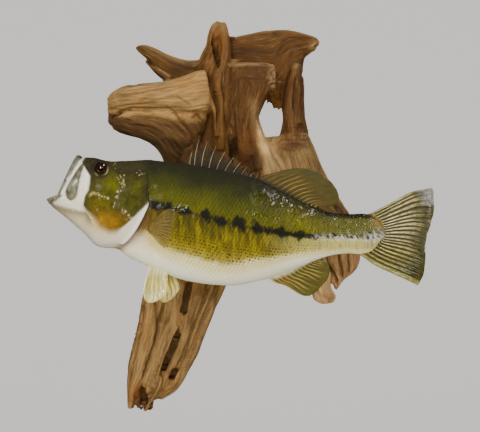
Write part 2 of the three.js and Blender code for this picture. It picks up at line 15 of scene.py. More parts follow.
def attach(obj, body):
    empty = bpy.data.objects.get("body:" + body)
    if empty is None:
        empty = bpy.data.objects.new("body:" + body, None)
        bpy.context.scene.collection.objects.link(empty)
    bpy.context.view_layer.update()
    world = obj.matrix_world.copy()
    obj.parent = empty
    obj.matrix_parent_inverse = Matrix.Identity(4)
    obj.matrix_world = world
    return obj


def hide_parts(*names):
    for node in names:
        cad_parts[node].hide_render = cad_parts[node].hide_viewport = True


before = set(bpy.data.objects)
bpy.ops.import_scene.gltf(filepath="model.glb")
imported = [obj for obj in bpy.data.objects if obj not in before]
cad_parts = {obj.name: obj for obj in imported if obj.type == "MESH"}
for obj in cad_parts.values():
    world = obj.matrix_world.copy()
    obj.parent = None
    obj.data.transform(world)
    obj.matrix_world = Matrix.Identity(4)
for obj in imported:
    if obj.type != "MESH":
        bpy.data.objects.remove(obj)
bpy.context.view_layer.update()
MM = 0.001

# %% [markdown]
# ## Small mathematics
# Smooth steps, a smooth curve through named points, and a repeatable noise that turns slowly in space.
# Everything natural here is a smooth form plus noise at two or three scales, so these few functions serve the
# whole model.

# %% Curves and noise


def ease(t):
    t = np.clip(t, 0, 1)
    return t * t * (3 - 2 * t)


def mix(a, b, t):
    return a + (b - a) * t


def bump(x, centre, width):
    return np.exp(-(((x - centre) / width) ** 2))


def through(pairs, x):
    """A smooth function through [x, value] pairs."""
    px, pv = np.array(pairs, float).T
    ahead, behind = np.minimum(np.arange(len(px)) + 1, len(px) - 1), np.maximum(np.arange(len(px)) - 1, 0)
    slope = (pv[ahead] - pv[behind]) / (px[ahead] - px[behind])
    x = np.asarray(x, float)
    i = np.clip(np.searchsorted(px, x, side="left") - 1, 0, len(px) - 2)
    span = px[i + 1] - px[i]
    t = np.clip((x - px[i]) / span, 0, 1)
    rise = t * t * (3 - 2 * t)
    return (
        (1 - rise) * pv[i]
        + rise * pv[i + 1]
        + (t**3 - 2 * t**2 + t) * slope[i] * span
        + (t**3 - t**2) * slope[i + 1] * span
    )


def curve(points, t):
    """Places along a smooth line through points, for t from 0 to 1."""
    p = np.asarray(points, float)
    p = np.vstack([2 * p[0] - p[1], p, 2 * p[-1] - p[-2]])
    u = np.clip(np.asarray(t, float), 0, 1) * (len(p) - 3)
    i = np.minimum(u.astype(int), len(p) - 4)
    w = (u - i)[..., None]
    a, b, c, d = p[i], p[i + 1], p[i + 2], p[i + 3]
    return b + 0.5 * w * (c - a + w * (2 * a - 5 * b + 4 * c - d + w * (3 * (b - c) + d - a)))


def lattice(ix, iy, iz, seed):
    """A repeatable number from 0 to 1 for each corner of a cubic lattice."""
    h = (ix * 374761393 + iy * 668265263 + iz * 2147483647 + seed * 974634777) & 0xFFFFFFFF
    h = ((h ^ (h >> 13)) * 1274126177) & 0xFFFFFFFF
    return ((h ^ (h >> 16)) & 0xFFFFFF) / float(0xFFFFFF)


def noise(x, y, z, seed=0):
    """Smooth noise from -1 to 1, one lump to each unit of length."""
    x, y, z = np.broadcast_arrays(np.asarray(x, float), np.asarray(y, float), np.asarray(z, float))
    fx, fy, fz = np.floor(x), np.floor(y), np.floor(z)
    tx, ty, tz = ease(x - fx), ease(y - fy), ease(z - fz)
    ix, iy, iz = fx.astype(np.int64), fy.astype(np.int64), fz.astype(np.int64)
    value = 0
    for dx in (0, 1):
        for dy in (0, 1):
            for dz in (0, 1):
                weight = (tx if dx else 1 - tx) * (ty if dy else 1 - ty) * (tz if dz else 1 - tz)
                value = value + weight * lattice(ix + dx, iy + dy, iz + dz, seed)
    return 2 * value - 1


def layered(x, y, z, seed=0, octaves=3):
    """Noise with finer noise laid over it."""
    return sum(noise(x * 2**k, y * 2**k, z * 2**k, seed + k) * 0.5**k for k in range(octaves))


def near_line(x, z, points):
    """Distance to an open line of [x, z] points, how far along it (0 to 1), and the side (+1 is its left)."""
    best = np.full(np.shape(x), 1e9)
    where = np.zeros(np.shape(x))
    side = np.ones(np.shape(x))
    points = np.asarray(points, float)
    for k, (p, q) in enumerate(zip(points[:-1], points[1:])):
        d = q - p
        t = np.clip(((x - p[0]) * d[0] + (z - p[1]) * d[1]) / (d @ d), 0, 1)
        dist = np.hypot(x - p[0] - t * d[0], z - p[1] - t * d[1])
        closer = dist < best
        best = np.where(closer, dist, best)
        where = np.where(closer, (k + t) / (len(points) - 1), where)
        side = np.where(closer, np.sign(d[0] * (z - p[1]) - d[1] * (x - p[0]) + 1e-12), side)
    return best, where, side


def inside(x, z, polygon):
    """Signed distance to a closed outline, positive inside."""
    polygon = np.asarray(polygon, float)
    dist, _, _ = near_line(x, z, np.vstack([polygon, polygon[:1]]))
    within = np.zeros(np.shape(x), bool)
    for (x0, z0), (x1, z1) in zip(polygon, np.roll(polygon, -1, 0)):
        crosses = ((z0 > z) != (z1 > z)) & (x < (x1 - x0) * (z - z0) / (z1 - z0 + 1e-12) + x0)
        within ^= crosses
    return np.where(within, dist, -dist)


def srgb(r, g, b):
    """A display colour, 0 to 255, as scene-linear numbers."""
    c = np.array([r, g, b], float) / 255
    return np.where(c <= 0.04045, c / 12.92, ((c + 0.055) / 1.055) ** 2.4)


def plain(shade, shape):
    """One display colour over a whole array."""
    return np.broadcast_to(srgb(*shade), (*shape, 3)).copy()


def blend(colours, *coats):
    """Colours of shape (..., 3) under coats of paint, each a display colour and a mask."""
    for shade, mask in coats:
        colours = colours + (srgb(*shade) - colours) * np.clip(mask, 0, 1)[..., None]
    return colours


# %% [markdown]
# ## Meshes
# A natural form here is nearly always a grid of points: rings down a body, or rays across a fin. One function
# turns such a grid into a mesh with shared corners, closed ends and outward faces, and another hands the
# piece to the frame.

# %% Mesh tools


def new_object(name, verts, faces, smooth=True):
    mesh = bpy.data.meshes.new(name)
    mesh.from_pydata(np.asarray(verts, float).reshape(-1, 3).tolist(), [], [list(map(int, f)) for f in faces])
    mesh.validate()
    mesh.shade_smooth() if smooth else mesh.shade_flat()
    made = bpy.data.objects.new(name, mesh)
    bpy.context.scene.collection.objects.link(made)
    return made


def grid_faces(rows, columns, wrap=True, start=0):
    """Quads of a grid; with wrap, the last column joins the first."""
    i, j = np.meshgrid(np.arange(rows - 1), np.arange(columns if wrap else columns - 1), indexing="ij")
    nxt = (j + 1) % columns
    a, b = i * columns + j, i * columns + nxt
    c, d = (i + 1) * columns + nxt, (i + 1) * columns + j
    return (np.stack([a, b, c, d], -1).reshape(-1, 4) + start).tolist()


def sheet_faces(n, m):
    """Faces of two facing grids of n by m points, closed round their rim."""
    near, far = grid_faces(n, m, wrap=False), grid_faces(n, m, wrap=False, start=n * m)
    rim = [i * m for i in range(n)] + [(n - 1) * m + k for k in range(1, m)]
    rim += [i * m + m - 1 for i in range(n - 2, -1, -1)] + list(range(m - 2, 0, -1))
    edge = [[a, b, b + n * m, a + n * m] for a, b in zip(rim, rim[1:] + rim[:1])]
    return near + [face[::-1] for face in far] + edge


def tube_mesh(name, rings):
    """Rings of points (rows, columns, 3) in mm, closed at both ends by a fan."""
    rows, columns, _ = rings.shape
    verts = rings.reshape(-1, 3) * MM
    ends = np.array([rings[0].mean(0), rings[-1].mean(0)]) * MM
    faces = grid_faces(rows, columns)
    first, last = rows * columns, rows * columns + 1
    for j in range(columns):
        k = (j + 1) % columns
        faces.append([first, k, j])
        faces.append([last, (rows - 1) * columns + j, (rows - 1) * columns + k])
    made = new_object(name, np.vstack([verts, ends]), faces)
    face_out(made)
    return made


def face_out(made):
    """Turns every face outwards."""
    v = np.empty(len(made.data.vertices) * 3)
    made.data.vertices.foreach_get("co", v)
    v = v.reshape(-1, 3)
    made.data.calc_loop_triangles()
    t = np.empty(len(made.data.loop_triangles) * 3, int)
    made.data.loop_triangles.foreach_get("vertices", t)
    a, b, c = v[t.reshape(-1, 3)].transpose(1, 0, 2)
    if np.einsum("ij,ij->", a, np.cross(b, c)) < 0:
        made.data.flip_normals()


def store(made, name, values, kind="FLOAT_COLOR"):
    """Writes one value, vector or colour for each vertex."""
    layer = made.data.attributes.new(name, kind, "POINT")
    values = np.asarray(values, float)
    if kind == "FLOAT_COLOR":
        values = np.concatenate([values, np.ones(values.shape[:-1] + (1,))], -1)
        layer.data.foreach_set("color", values.ravel())
    elif kind == "FLOAT_VECTOR":
        layer.data.foreach_set("vector", values.ravel())
    else:
        layer.data.foreach_set("value", values.ravel())


def unwrap(made, uv):
    """A UV map from one (u, v) for each vertex."""
    layer = made.data.uv_layers.new(name="OFBake")
    loops = np.empty(len(made.data.loops), int)
    made.data.loops.foreach_get("vertex_index", loops)
    layer.data.foreach_set("uv", np.asarray(uv, float)[loops].ravel())


def part_of(made, slot, *nodes):
    """Hands a finished piece to the frame."""
    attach(made, "root")
    if nodes:
        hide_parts(*nodes)
    made.data.calc_loop_triangles()
    print(f"{made.name}: {len(made.data.loop_triangles)} triangles")


# %% [markdown]
# ## Materials
# Shader maths is written as plain expressions on sockets. Markings are painted on the vertices of skin and
# scales by one function, and the shaders add what is finer than a vertex: pores, grain, the spot in the
# middle of a scale.

# %% Shader tools


def maths(operation):
    """A method that joins a value to another with a maths node."""
    return lambda self, other: self.graph.node("ShaderNodeMath", dict(operation=operation), [self, other])


class Socket:
    """A shader value that can be added and multiplied like a number."""

    def __init__(self, graph, out):
        self.graph, self.out = graph, out

    __add__ = __radd__ = maths("ADD")
    __mul__ = __rmul__ = maths("MULTIPLY")
    __sub__, power = maths("SUBTRACT"), maths("POWER")

    def __rsub__(self, other):
        return self.graph.node("ShaderNodeMath", dict(operation="SUBTRACT"), [other, self])

    def between(self, low, high, start=0.0, end=1.0):
        """Runs smoothly from start to end as this value goes from low to high."""
        return self.graph.node(
            "ShaderNodeMapRange", dict(interpolation_type="SMOOTHSTEP"), [self, low, high, start, end]
        )


class Graph:
    """A material under construction."""

    def __init__(self, name):
        self.material = bpy.data.materials.new(name)
        self.material.use_nodes = True
        self.tree = self.material.node_tree
        self.tree.nodes.clear()

    def node(self, kind, settings=None, inputs=(), out=0):
        """Adds a node. inputs is a list for the first sockets, or a dict by socket name or number."""
        made = self.tree.nodes.new(kind)
        for key, value in (settings or {}).items():
            setattr(made, key, value)
        pairs = inputs.items() if isinstance(inputs, dict) else enumerate(inputs)
        for key, value in pairs:
            target = made.inputs[key]
            if isinstance(value, Socket):
                self.tree.links.new(value.out, target)
            else:
                target.default_value = value
        return Socket(self, made.outputs[out]) if made.outputs else None

    def attribute(self, name, out="Color"):
        return self.node("ShaderNodeAttribute", dict(attribute_name=name), out=out)

    def place(self):
        return self.node("ShaderNodeTexCoord", out="Object")

    def speckle(self, vector, scale, detail=2.0, roughness=0.5):
        inputs = dict(Vector=vector, Scale=scale, Detail=detail, Roughness=roughness)
        return self.node("ShaderNodeTexNoise", {}, inputs)

    def mixed(self, a, b, factor):
        settings = dict(data_type="RGBA", clamp_factor=True)
        return self.node("ShaderNodeMix", settings, {0: factor, 6: a, 7: b}, out=2)

    def surface(self, **inputs):
        """Closes the material with a Principled surface."""
        named = {key.replace("_", " "): value for key, value in inputs.items()}
        shader = self.node("ShaderNodeBsdfPrincipled", {}, named)
        self.node("ShaderNodeOutputMaterial", {}, [shader])
        return self.material

    def bumped(self, height, strength=0.5, distance=0.001):
        return self.node("ShaderNodeBump", {}, dict(Strength=strength, Distance=distance, Height=height))

# %% [markdown]
# ## The fish's body
# The body is one surface: rings from the throat out over the lips and back to the root of the tail. Each ring
# leans forward near the mouth, as the jaws do, and the rings behind the head are drawn along the rear edge of
# the gill covers, so that the free edge of the cover is a real fold with a groove behind it.

# %% Named sizes of the fish, in millimetres
SPINE_Y, TAIL_SWING, HEAD_SWING, SWING_CENTRE_X = -104, 20, 8, -20
JAW_TIP_X, TAIL_END_X, FLESH_END_X = -253.3, 254, 189.5
LIP_TOP_X, LIP_SIDE_X, UPRIGHT_X = -213.2, -235.6, -120
GILL_FLARE, FLESH_TUCK, COAT = 3.0, 3.0, 0.7
BACK = [
    [LIP_TOP_X, 79.6], [-205, 77.4], [-196, 76.8], [-188, 75.9], [-177, 72.6], [-155, 71.9], [-118, 73.2],
    [-70, 68.8], [-15, 58.4], [22, 49.2], [50, 36], [75, 22.5], [100, 11.2], [118, 5.2], [140, 2.6],
    [162, 2.8],
    [174, 0.5], [184, -9], [FLESH_END_X, -19],
]
BELLY = [
    [JAW_TIP_X, 21.5], [-248, 14.2], [-226, -4], [-204, -23.5], [-190, -38], [-178, -42.2], [-160, -44.4],
    [-146, -54], [-118, -67.6], [-75, -84.5], [-17, -92], [22, -86.8], [50, -78], [84, -65.3], [101, -58.2],
    [118, -52.8], [140, -49.6], [160, -49.8], [172, -45.6], [183, -34], [FLESH_END_X, -24],
]
HALF_WIDTH = [
    [LIP_SIDE_X, 30], [-221, 32.5], [-190, 34], [-170, 36.5], [-150, 39], [-118, 41.5], [-95, 43], [-55, 45],
    [-17, 44], [22, 39.5], [50, 33.5], [84, 24.5], [117, 16.5], [138, 12.5], [157, 9.5], [174, 6.5],
    [FLESH_END_X, 2.6],
]
WIDEST_Z = [
    [LIP_SIDE_X, 27.6], [-221, 23.5], [-190, 14], [-150, 8], [-118, 1], [-55, -9], [22, -14], [84, -18],
    [157, -23], [FLESH_END_X, -21.5],
]
# The open mouth: [top x, z], [side x, z, half-width], [bottom x, z], from the lips to the throat.
MOUTH = [
    [[-214.6, 75.6], [-235.6, 27.6, 27.5], [-249.4, 23.6]],
    [[-199, 64], [-213, 21, 28.5], [-229, 4.4]],
    [[-178, 50], [-187, 10, 25], [-202, -16.5]],
    [[-156, 36], [-160, 6, 16], [-172, -24]],
    [[-136, 16], [-138, 2, 5], [-146, -14]],
]
GILL_EDGE_Z = [
    [-46, -163], [-42, -159], [-31.5, -146], [-17, -134], [5, -122.2], [15, -117.6], [22, -117.6], [38, -121],
    [62, -122], [100, -122]
]
GILL_ROW_X = -122
EYE = dict(x=-180.8, z=61.5, offset=20.6, radius=9.0, depth=7.8)


def spine_y(x):
    tail = np.maximum(0, x - SWING_CENTRE_X) / (TAIL_END_X - SWING_CENTRE_X)
    head = np.maximum(0, SWING_CENTRE_X - x) / (SWING_CENTRE_X - JAW_TIP_X)
    return SPINE_Y - TAIL_SWING * tail**2 - HEAD_SWING * head**2


def body_point(xs, phi, wider=0.0, deeper=0.0):
    """A place on the fish. phi runs from the back (0) down the left to the belly (pi) and up the right."""
    upright = ease((xs - LIP_SIDE_X) / (UPRIGHT_X - LIP_SIDE_X))
    c, s = np.cos(phi), np.sin(phi)
    upper = c >= 0
    x_end = xs + np.where(upper, LIP_TOP_X - LIP_SIDE_X, JAW_TIP_X - LIP_SIDE_X) * (1 - upright)
    power = np.where(upper, mix(0.74, 0.92, ease((xs + 200) / 120)), 0.92)
    height = np.abs(c) ** power
    x = mix(xs, x_end, height)
    z_end = np.where(upper, through(BACK, x_end) - deeper, through(BELLY, x_end) + deeper)
    z_side = through(WIDEST_Z, xs)
    width = np.maximum(0.5, through(HALF_WIDTH, xs) + wider)
    return np.stack([x, spine_y(x) - np.sign(s) * np.abs(s) ** power * width, mix(z_side, z_end, height)], -1)


def trunk_widening(xs, head=0.0):
    """How much wider than the flesh the skin is: flared on the head, tucked in behind the gills."""
    gills = ease((xs + 180) / 30) * ease((-80 - xs) / 40)
    return mix(-FLESH_TUCK, GILL_FLARE, head) * gills - COAT * ease((xs + 125) / 20)


def trunk_point(xs, phi):
    return body_point(xs, phi, trunk_widening(xs), COAT * ease((xs - GILL_ROW_X) / 20))


COLUMNS = 176
PHI = 2 * np.pi * (np.arange(COLUMNS) + 0.5) / COLUMNS


def gill_shift(phi):
    """How far the row of the gill edge is drawn back or forward at each angle, to follow that edge."""
    xs = np.linspace(-200, -100, 201)
    p = body_point(xs[:, None], phi[None, :], wider=GILL_FLARE)
    gap = p[..., 0] - through(GILL_EDGE_Z, p[..., 2])
    first = np.argmax(gap > 0, axis=0)
    shift = xs[first] - GILL_ROW_X
    below = np.abs(np.abs((phi % (2 * np.pi)) - np.pi))  # 0 at the middle of the belly
    return np.where(below < 0.62, mix(-62, -38, ease(below / 0.62)), shift)


SHIFT = gill_shift(PHI)
for _ in range(6):
    SHIFT = (np.roll(SHIFT, 1) + 2 * SHIFT + np.roll(SHIFT, -1)) / 4
FOLD = ease((np.abs(((PHI + np.pi) % (2 * np.pi)) - np.pi) - 0.62) / 0.25)  # no fold over the nape


def warp(s):
    """How far a row shares in the shift of the gill edge."""
    ahead = ease((s - LIP_SIDE_X) / (GILL_ROW_X - LIP_SIDE_X))
    return np.where(s < GILL_ROW_X, ahead, 1 - ease((s - GILL_ROW_X) / 90))


print("gill edge drawn by", SHIFT.min().round(1), "to", SHIFT.max().round(1), "mm")

# %% [markdown]
# Relief of the head. Under the varnish a bass's cheek shows the bones: a rim round the eye, the plate of the
# maxilla lying on the soft skin of the mouth's corner, the edge of the preopercle, and the smooth membrane
# below the gill cover. They are raised or sunk by one to three millimetres, as functions of the place in side
# view.

# %% Relief of the head
MAXILLA = [
    [-203, 70], [-207.5, 64.5], [-213, 55.8], [-218.7, 46.7], [-223.6, 38], [-226.2, 30.5], [-224.4, 23.6],
    [-219.8, 19.6], [-213.5, 21.3], [-210.6, 27.1], [-208.9, 37.4], [-207, 47.8], [-204.8, 57], [-202.3, 65],
]
MAXILLA_FRONT = [[-202.5, 69.5], [-207.5, 64.2], [-213, 55.4], [-218.7, 46.2], [-223.3, 38], [-225.5, 30.5]]
MOUTH_SKIN = [
    [-205, 68], [-194.3, 51.4], [-195.5, 34.3], [-200.4, 25.7], [-202, 14], [-201.7, 5], [-214, 4.5],
    [-238, 11.3], [-245, 20], [-225, 22], [-212, 30], [-207, 50],
]
JAW_LINE = [[-243, 15], [-226, 9], [-212, 6], [-200, 3.5], [-194, -5]]
CHEEK_BONE = [
    [-158, 59], [-153.5, 50], [-152, 38], [-157, 27], [-160.5, 16], [-156, 7], [-146, 0.5], [-137, -4]
]
EYE_BONE = [[-194, 26], [-191, 30], [-184, 28], [-177, 25], [-169, 22.5]]
COVER_RIM = [
    [-118.5, 17], [-131.2, 3.7], [-140.8, -6.5], [-150.3, -15], [-160, -22], [-169.4, -22.5], [-179, -14]
]
NOSTRILS = [[-199.5, 70.5], [-195, 71.5]]


def head_relief(x, z, behind_lip, upper):
    """Height over the smooth head in mm, on either side."""
    fade = ease((-112 - x) / 10)
    r = np.hypot(x - EYE["x"], z - EYE["z"])
    beads = 0.55 + 0.9 * noise(x / 1.9, z / 1.9, 0, 6)
    out = (1.1 - 0.9 * ease((EYE["z"] - 1 - z) / 6)) * bump(r, 9.9, 1.8) - 3.4 * ease((9.0 - r) / 1.9)
    seam = near_line(x, z, MAXILLA_FRONT)[0]
    out += 1.5 * ease((inside(x, z, MAXILLA) + 0.5) / 1.3) - 0.8 * bump(seam, 0, 1.0)
    skin = ease(inside(x, z, MOUTH_SKIN) / 2.0)
    out -= 1.2 * skin * (1 - ease((inside(x, z, MAXILLA) + 0.5) / 1.3))
    out += 0.35 * skin * np.sin(x * 1.1 + z * 0.25)
    line, _, side = near_line(x, z, JAW_LINE)
    out += 1.0 * bump(line, 0, 3.0) * (side < 0) - 0.7 * bump(line, 0, 1.2) * (side > 0)
    line, _, side = near_line(x, z, CHEEK_BONE)
    out += (0.8 * bump(line, 0, 2.2) * beads - 0.4 * ease(line / 3) * bump(line, 0, 9) * (side > 0)) * fade
    line, _, side = near_line(x, z, EYE_BONE)
    out += 0.55 * bump(line, 0, 1.5) * beads
    line, _, side = near_line(x, z, COVER_RIM)
    rim = np.where(side > 0, -0.8, 0.35) * ease(line / 1.6) * bump(line, 0, 7)
    out += rim * fade * (z < 30) * (0.6 + 0.4 * beads)
    for nx, nz in NOSTRILS:
        rn = np.hypot(x - nx, z - nz)
        out += 0.5 * bump(rn, 1.9, 0.7) - 1.3 * bump(rn, 0, 1.1)
    lip = np.where(upper, 5.5, 4.0)
    out += 0.9 * bump(behind_lip, lip * 0.45, lip * 0.45) - 0.6 * bump(behind_lip, lip + 1.2, 1.1)
    rays = np.sin((x * 0.35 - z) * 0.9) * bump(z, -30, 14) * ease((-150 - x) / 20) * ease((x + 215) / 15)
    return out + 0.16 * rays + 0.12 * layered(x / 4, z / 4, 0, 5)


# %% Rings of the body
def skin_rings():
    rows, behind = [], []
    for t in np.linspace(1, 0, 44) ** 1.1:  # from the throat forward to the lips
        station = curve([[*a, *b, *c] for a, b, c in MOUTH], np.array(t))
        c, s = np.cos(PHI), np.sin(PHI)
        upper = c >= 0
        height = np.abs(c) ** 0.9
        x = mix(station[2], np.where(upper, station[0], station[5]), height)
        z = mix(station[3], np.where(upper, station[1], station[6]), height)
        rows.append(np.stack([x, spine_y(x) - np.sign(s) * np.abs(s) ** 0.9 * station[4], z], -1))
        behind.append(np.full(COLUMNS, -40.0 * t - 2))
    rim = body_point(np.full(COLUMNS, LIP_SIDE_X), PHI)
    inner = rows[-1]
    for t in (0.25, 0.5, 0.75):  # round over the lips
        row = mix(inner, rim, t)
        row[:, 0] -= 1.1 * math.sin(math.pi * t)
        rows.append(row)
        behind.append(np.full(COLUMNS, -2 + 2 * t))
    spread = np.concatenate([
        np.linspace(LIP_SIDE_X, GILL_ROW_X - 0.8, 96)[:-1],
        GILL_ROW_X + np.array([-0.8, -0.3, 0, 0.02, 0.04, 0.06, 0.08, 0.1, 0.9, 2.2]),
        np.linspace(GILL_ROW_X + 3.6, 100, 118)[:-1],
        np.linspace(100, FLESH_END_X - 0.6, 60),
    ])
    nudge = {0: 0.0, 0.02: 0.45, 0.04: 0.1, 0.06: -1.7, 0.08: -2.6, 0.1: -1.0}
    share = {0: 0.96, 0.02: 0.83, 0.04: 0.66, 0.06: 0.5, 0.08: 0.12, 0.1: 0.03}
    upper = np.cos(PHI) >= 0
    for s in spread:
        step = round(float(s - GILL_ROW_X), 2)
        xs = s + SHIFT * warp(s) + nudge.get(step, 0) * FOLD
        head = share.get(step, 1.0 if step <= 0 else 0.0) * FOLD
        p = body_point(xs, PHI, trunk_widening(xs, head), COAT * ease((s - GILL_ROW_X) / 20))
        if step <= 0.3:
            beside, above = p[:, 1] - spine_y(p[:, 0]), p[:, 2] - through(WIDEST_Z, xs)
            flat = np.stack([np.zeros(COLUMNS), beside, above], -1)
            out = flat / np.maximum(1e-6, np.linalg.norm(flat, axis=1))[:, None]
            keep = head if step > 0 else 1.0
            p = p + out * (head_relief(p[:, 0], p[:, 2], s - LIP_SIDE_X, upper) * keep)[:, None]
        rows.append(p)
        behind.append(np.full(COLUMNS, s - LIP_SIDE_X))
    return np.array(rows), np.array(behind)


RINGS, BEHIND_LIP = skin_rings()
print("skin grid", RINGS.shape)

# %% [markdown]
# The markings of a largemouth bass: a dark olive back, a broken black band along the side, gold flanks and a
# cream belly. They are functions of the place on the fish, so that the skin and every scale on it take the
# same colour.

# %% Markings of the trunk and tail
BAND = [
    [-135, 15.5], [-112, 14.2], [-72, 7.1], [-45, 0.6], [-26, -5.9], [-1, -9.9], [19, -15.2], [43, -19.4],
    [56, -20.7], [75, -24.4], [122, -26.2], [167, -27.6], [190, -27.8],
]
CREAM = [
    [-170, -6], [-140, -13], [-122, -22], [-97, -43.8], [-70, -51.6], [-37, -61.2], [-10, -63.8],
    [15.5, -61.2], [43, -56.7], [69, -50.5], [98, -46.8], [130, -44.6], [165, -45], [190, -41],
]
# Blotches of the band: [x, half width, half height above, half height below].
BLOTCHES = [
    [-108, 12, 8, 6], [-90, 10, 6, 6], [-73, 10, 6, 7], [-44, 7, 10, 11], [-24, 8, 7.5, 9], [-1, 9, 10, 10],
    [21, 7, 8.5, 6], [37, 9, 5, 5], [53, 10, 5.5, 7], [77, 8, 8, 7], [99, 8, 4.5, 5], [118, 9, 4.5, 4.5],
    [142, 9, 3.5, 4.5], [169, 9, 5, 6],
]
OLIVE_UP = [
    [0, (90, 88, 3)], [0.22, (74, 75, 3)], [0.5, (55, 58, 5)], [0.75, (37, 38, 11)], [1, (32, 31, 15)]
]
GOLD_DOWN = [
    [0, (66, 61, 4)], [0.3, (84, 76, 5)], [0.62, (114, 100, 10)], [0.86, (150, 135, 40)],
    [1, (214, 203, 128)],
]


def ramp(stops, t):
    places = [stop for stop, _ in stops]
    colours = np.array([srgb(*colour) for _, colour in stops])
    return np.stack([np.interp(t, places, colours[:, k]) for k in range(3)], -1)


def band_mask(x, z):
    """1 inside the black band."""
    ragged = 2.0 * noise(x / 1.6, z / 4.2, 0, 11) + 1.6 * noise(x / 4.5, z / 6, 0, 12)
    up = z - through(BAND, x)
    mask = np.zeros(np.shape(x))
    for centre, half, above, below in BLOTCHES:
        reach = np.where(up > 0, above, below)
        shape = 1 - np.abs((x - centre) / (half * 1.25)) ** 1.5 - np.abs(up / (reach * 1.15)) ** 1.5
        mask = np.maximum(mask, ease((shape * 4.2 + ragged) / 3.4 + 0.25))
    joined = ease((x - 22) / 25)
    thin = 2.1 + 0.9 * joined + 0.9 * noise(x / 5, 0, 0, 13)
    line = ease((thin - np.abs(up + 1)) / 1.6 + 0.5 + ragged * 0.22) * (0.22 + 0.72 * joined)
    silver = ease((x - 84) / 60) * ease((noise(x / 1.5, z / 2.2, 0, 14) + 0.25 - 0.2 * up) / 0.5)
    return np.clip(np.maximum(mask * 0.97, line), 0, 1) * (1 - 0.8 * silver)


def body_paint(x, z):
    """Colour of the trunk and the tail stem."""
    band, cream, back = through(BAND, x), through(CREAM, x), through(BACK, x)
    up = np.clip((z - band) / (back - band), 0, 1.2)
    down = np.clip((band - z) / (band - cream), 0, 2)
    wander = 0.10 * layered(x / 22, z / 14, 0, 20)
    streak = noise(x / 1.7, z / 9, 0, 21) + 0.7 * noise(x / 3.6, z / 14, 0, 22)
    gold = ramp(GOLD_DOWN, down + wander * 0.8)
    colour = np.where((z > band)[..., None], ramp(OLIVE_UP, up + wander), gold)
    tail = ease((x - 70) / 70)
    pale = ease((x - 20) / 110) * ease(down / 0.25)
    colour = blend(
        colour, ((204, 196, 120), pale * 0.8),
        ((136, 128, 28), bump(x, 78, 34) * bump(up, 0.35, 0.4) * (z > band) * 0.35),
        ((100, 98, 38), tail * (z > band) * (up < 0.8) * 0.6),
    )
    below = bump(down, 0.42, 0.42) * ease(down / 0.12)
    colour = colour * (1 + 0.24 * streak * below + 0.13 * streak)[..., None]
    flank = ease((down - 0.82 + wander * 0.6) / 0.36)
    glow = bump(x, -112, 20) * bump(z, -34, 11)
    nape = ease((-116 - x) / 16) * ease((z - 46) / 10)
    # Behind the gill cover's edge: a reddish-brown tint with painted shade under the edge, and a painted
    # grey-tan shade lower down.
    behind = x - through(GILL_EDGE_Z, z)
    root = bump(behind, 2, 16) * bump(z, -13, 22)
    # Near-white flecks along the band on the tail stem: silver flecks and painted glints.
    dash = noise((x + 0.7 * z) / 1.5, z / 4, 0, 15)
    silver_flecks_and_glints = ease((x - 82) / 40) * bump(z - band, -1.5, 4.2) * ease((dash - 0.02) / 0.2)
    silver = bump(x, 176, 15) * bump(z, -27, 9) * ease((noise((x + 0.6 * z) / 1.8, z / 3, 0, 24) + 0.1) / 0.3)
    smudge = np.clip(-0.12 + 0.35 * layered(x / 9, z / 12, 0, 23), 0, 0.3) * ease((x - 20) / 60) * (up > 0)
    colour = blend(
        colour, ((146, 134, 20), np.clip(streak * 0.6, 0, 0.5) * below),
        ((72, 64, 20), smudge), ((232, 219, 164), flank), ((255, 247, 216), ease((down - 1.08) / 0.3)),
        ((196, 170, 60), 0.6 * glow),
        ((54, 51, 22), nape * (0.9 + 0.3 * wander)), ((82, 48, 26), 0.95 * root),
        ((140, 118, 88), 0.85 * bump(behind, 2, 9) * bump(z, -38, 20)),
        ((10, 12, 12), band_mask(x, z) * 0.97), ((206, 204, 190), 0.85 * silver_flecks_and_glints),
        ((150, 122, 60), 0.7 * bump(x, 182, 9) * bump(z, -8, 10)), ((190, 192, 198), 0.85 * silver),
    )
    return np.clip(colour, 0.001, 0.9)


# %% Markings of the head
LIP_WIDTH = [[20, 2.2], [48, 4.6], [78, 7.6]]
GREEN = [
    [-194.3, 51.4], [-196, 34.3], [-200.8, 25.7], [-202.8, 14.2], [-199, 6], [-190.5, -2.5], [-181, -14],
    [-169.4, -20.5], [-159.8, -20.5], [-150.3, -13.6], [-140.8, -5.8], [-131.2, 3.7], [-112, 22], [-90, 60],
    [-90, 110], [-225, 110], [-207, 72],
]
CHEEK_SPOTS = [
    # x, z, reach, colour, strength
    [-163, 40, 10, (128, 130, 4), 0.85], [-176, 40, 9, (98, 98, 10), 0.5], [-179, 20, 9, (128, 118, 8), 0.6],
    [-187, 8, 8, (138, 108, 8), 0.7], [-164, -9, 12, (172, 124, 1), 0.9],
    [-178, -5, 10, (182, 138, 20), 0.85], [-152, -3, 8, (150, 112, 16), 0.6],
    [-131, 38, 9, (108, 108, 8), 0.65], [-141, 16, 12, (84, 82, 12), 0.6], [-148, 46, 12, (78, 70, 16), 0.6],
    [-120, 34, 8, (48, 50, 16), 0.7], [-190, 60, 12, (58, 50, 30), 0.85], [-203, 72, 12, (44, 38, 26), 0.9],
    [-158, 24, 7, (84, 80, 16), 0.5], [-170, 10, 7, (116, 100, 10), 0.5],
]
PAINTED_GLINTS = [
    # painted glints on the bones of the head: x, z, reach
    [-192.5, 27.5, 1.3], [-189, 29.8, 1.5], [-186, 28, 1.1], [-182.5, 27, 1.5], [-178.5, 25.4, 1.3],
    [-175, 24.8, 1.1], [-170.5, 22.8, 1.6], [-157.5, 31.5, 1.9], [-150.5, 47, 1.2], [-149.5, 40, 1.5],
    [-150, 52.5, 1.1], [-154, 50, 1.1], [-158.5, 25, 1.4], [-161.5, 17, 1.2], [-163, 12, 1.2], [-152, 9, 1.6],
    [-156, 14, 1.2], [-148, 5.5, 1.3], [-143, 1.2, 1.5], [-139.5, -3, 1.7], [-136, -1, 1.2], [-146, -5, 1.1],
]
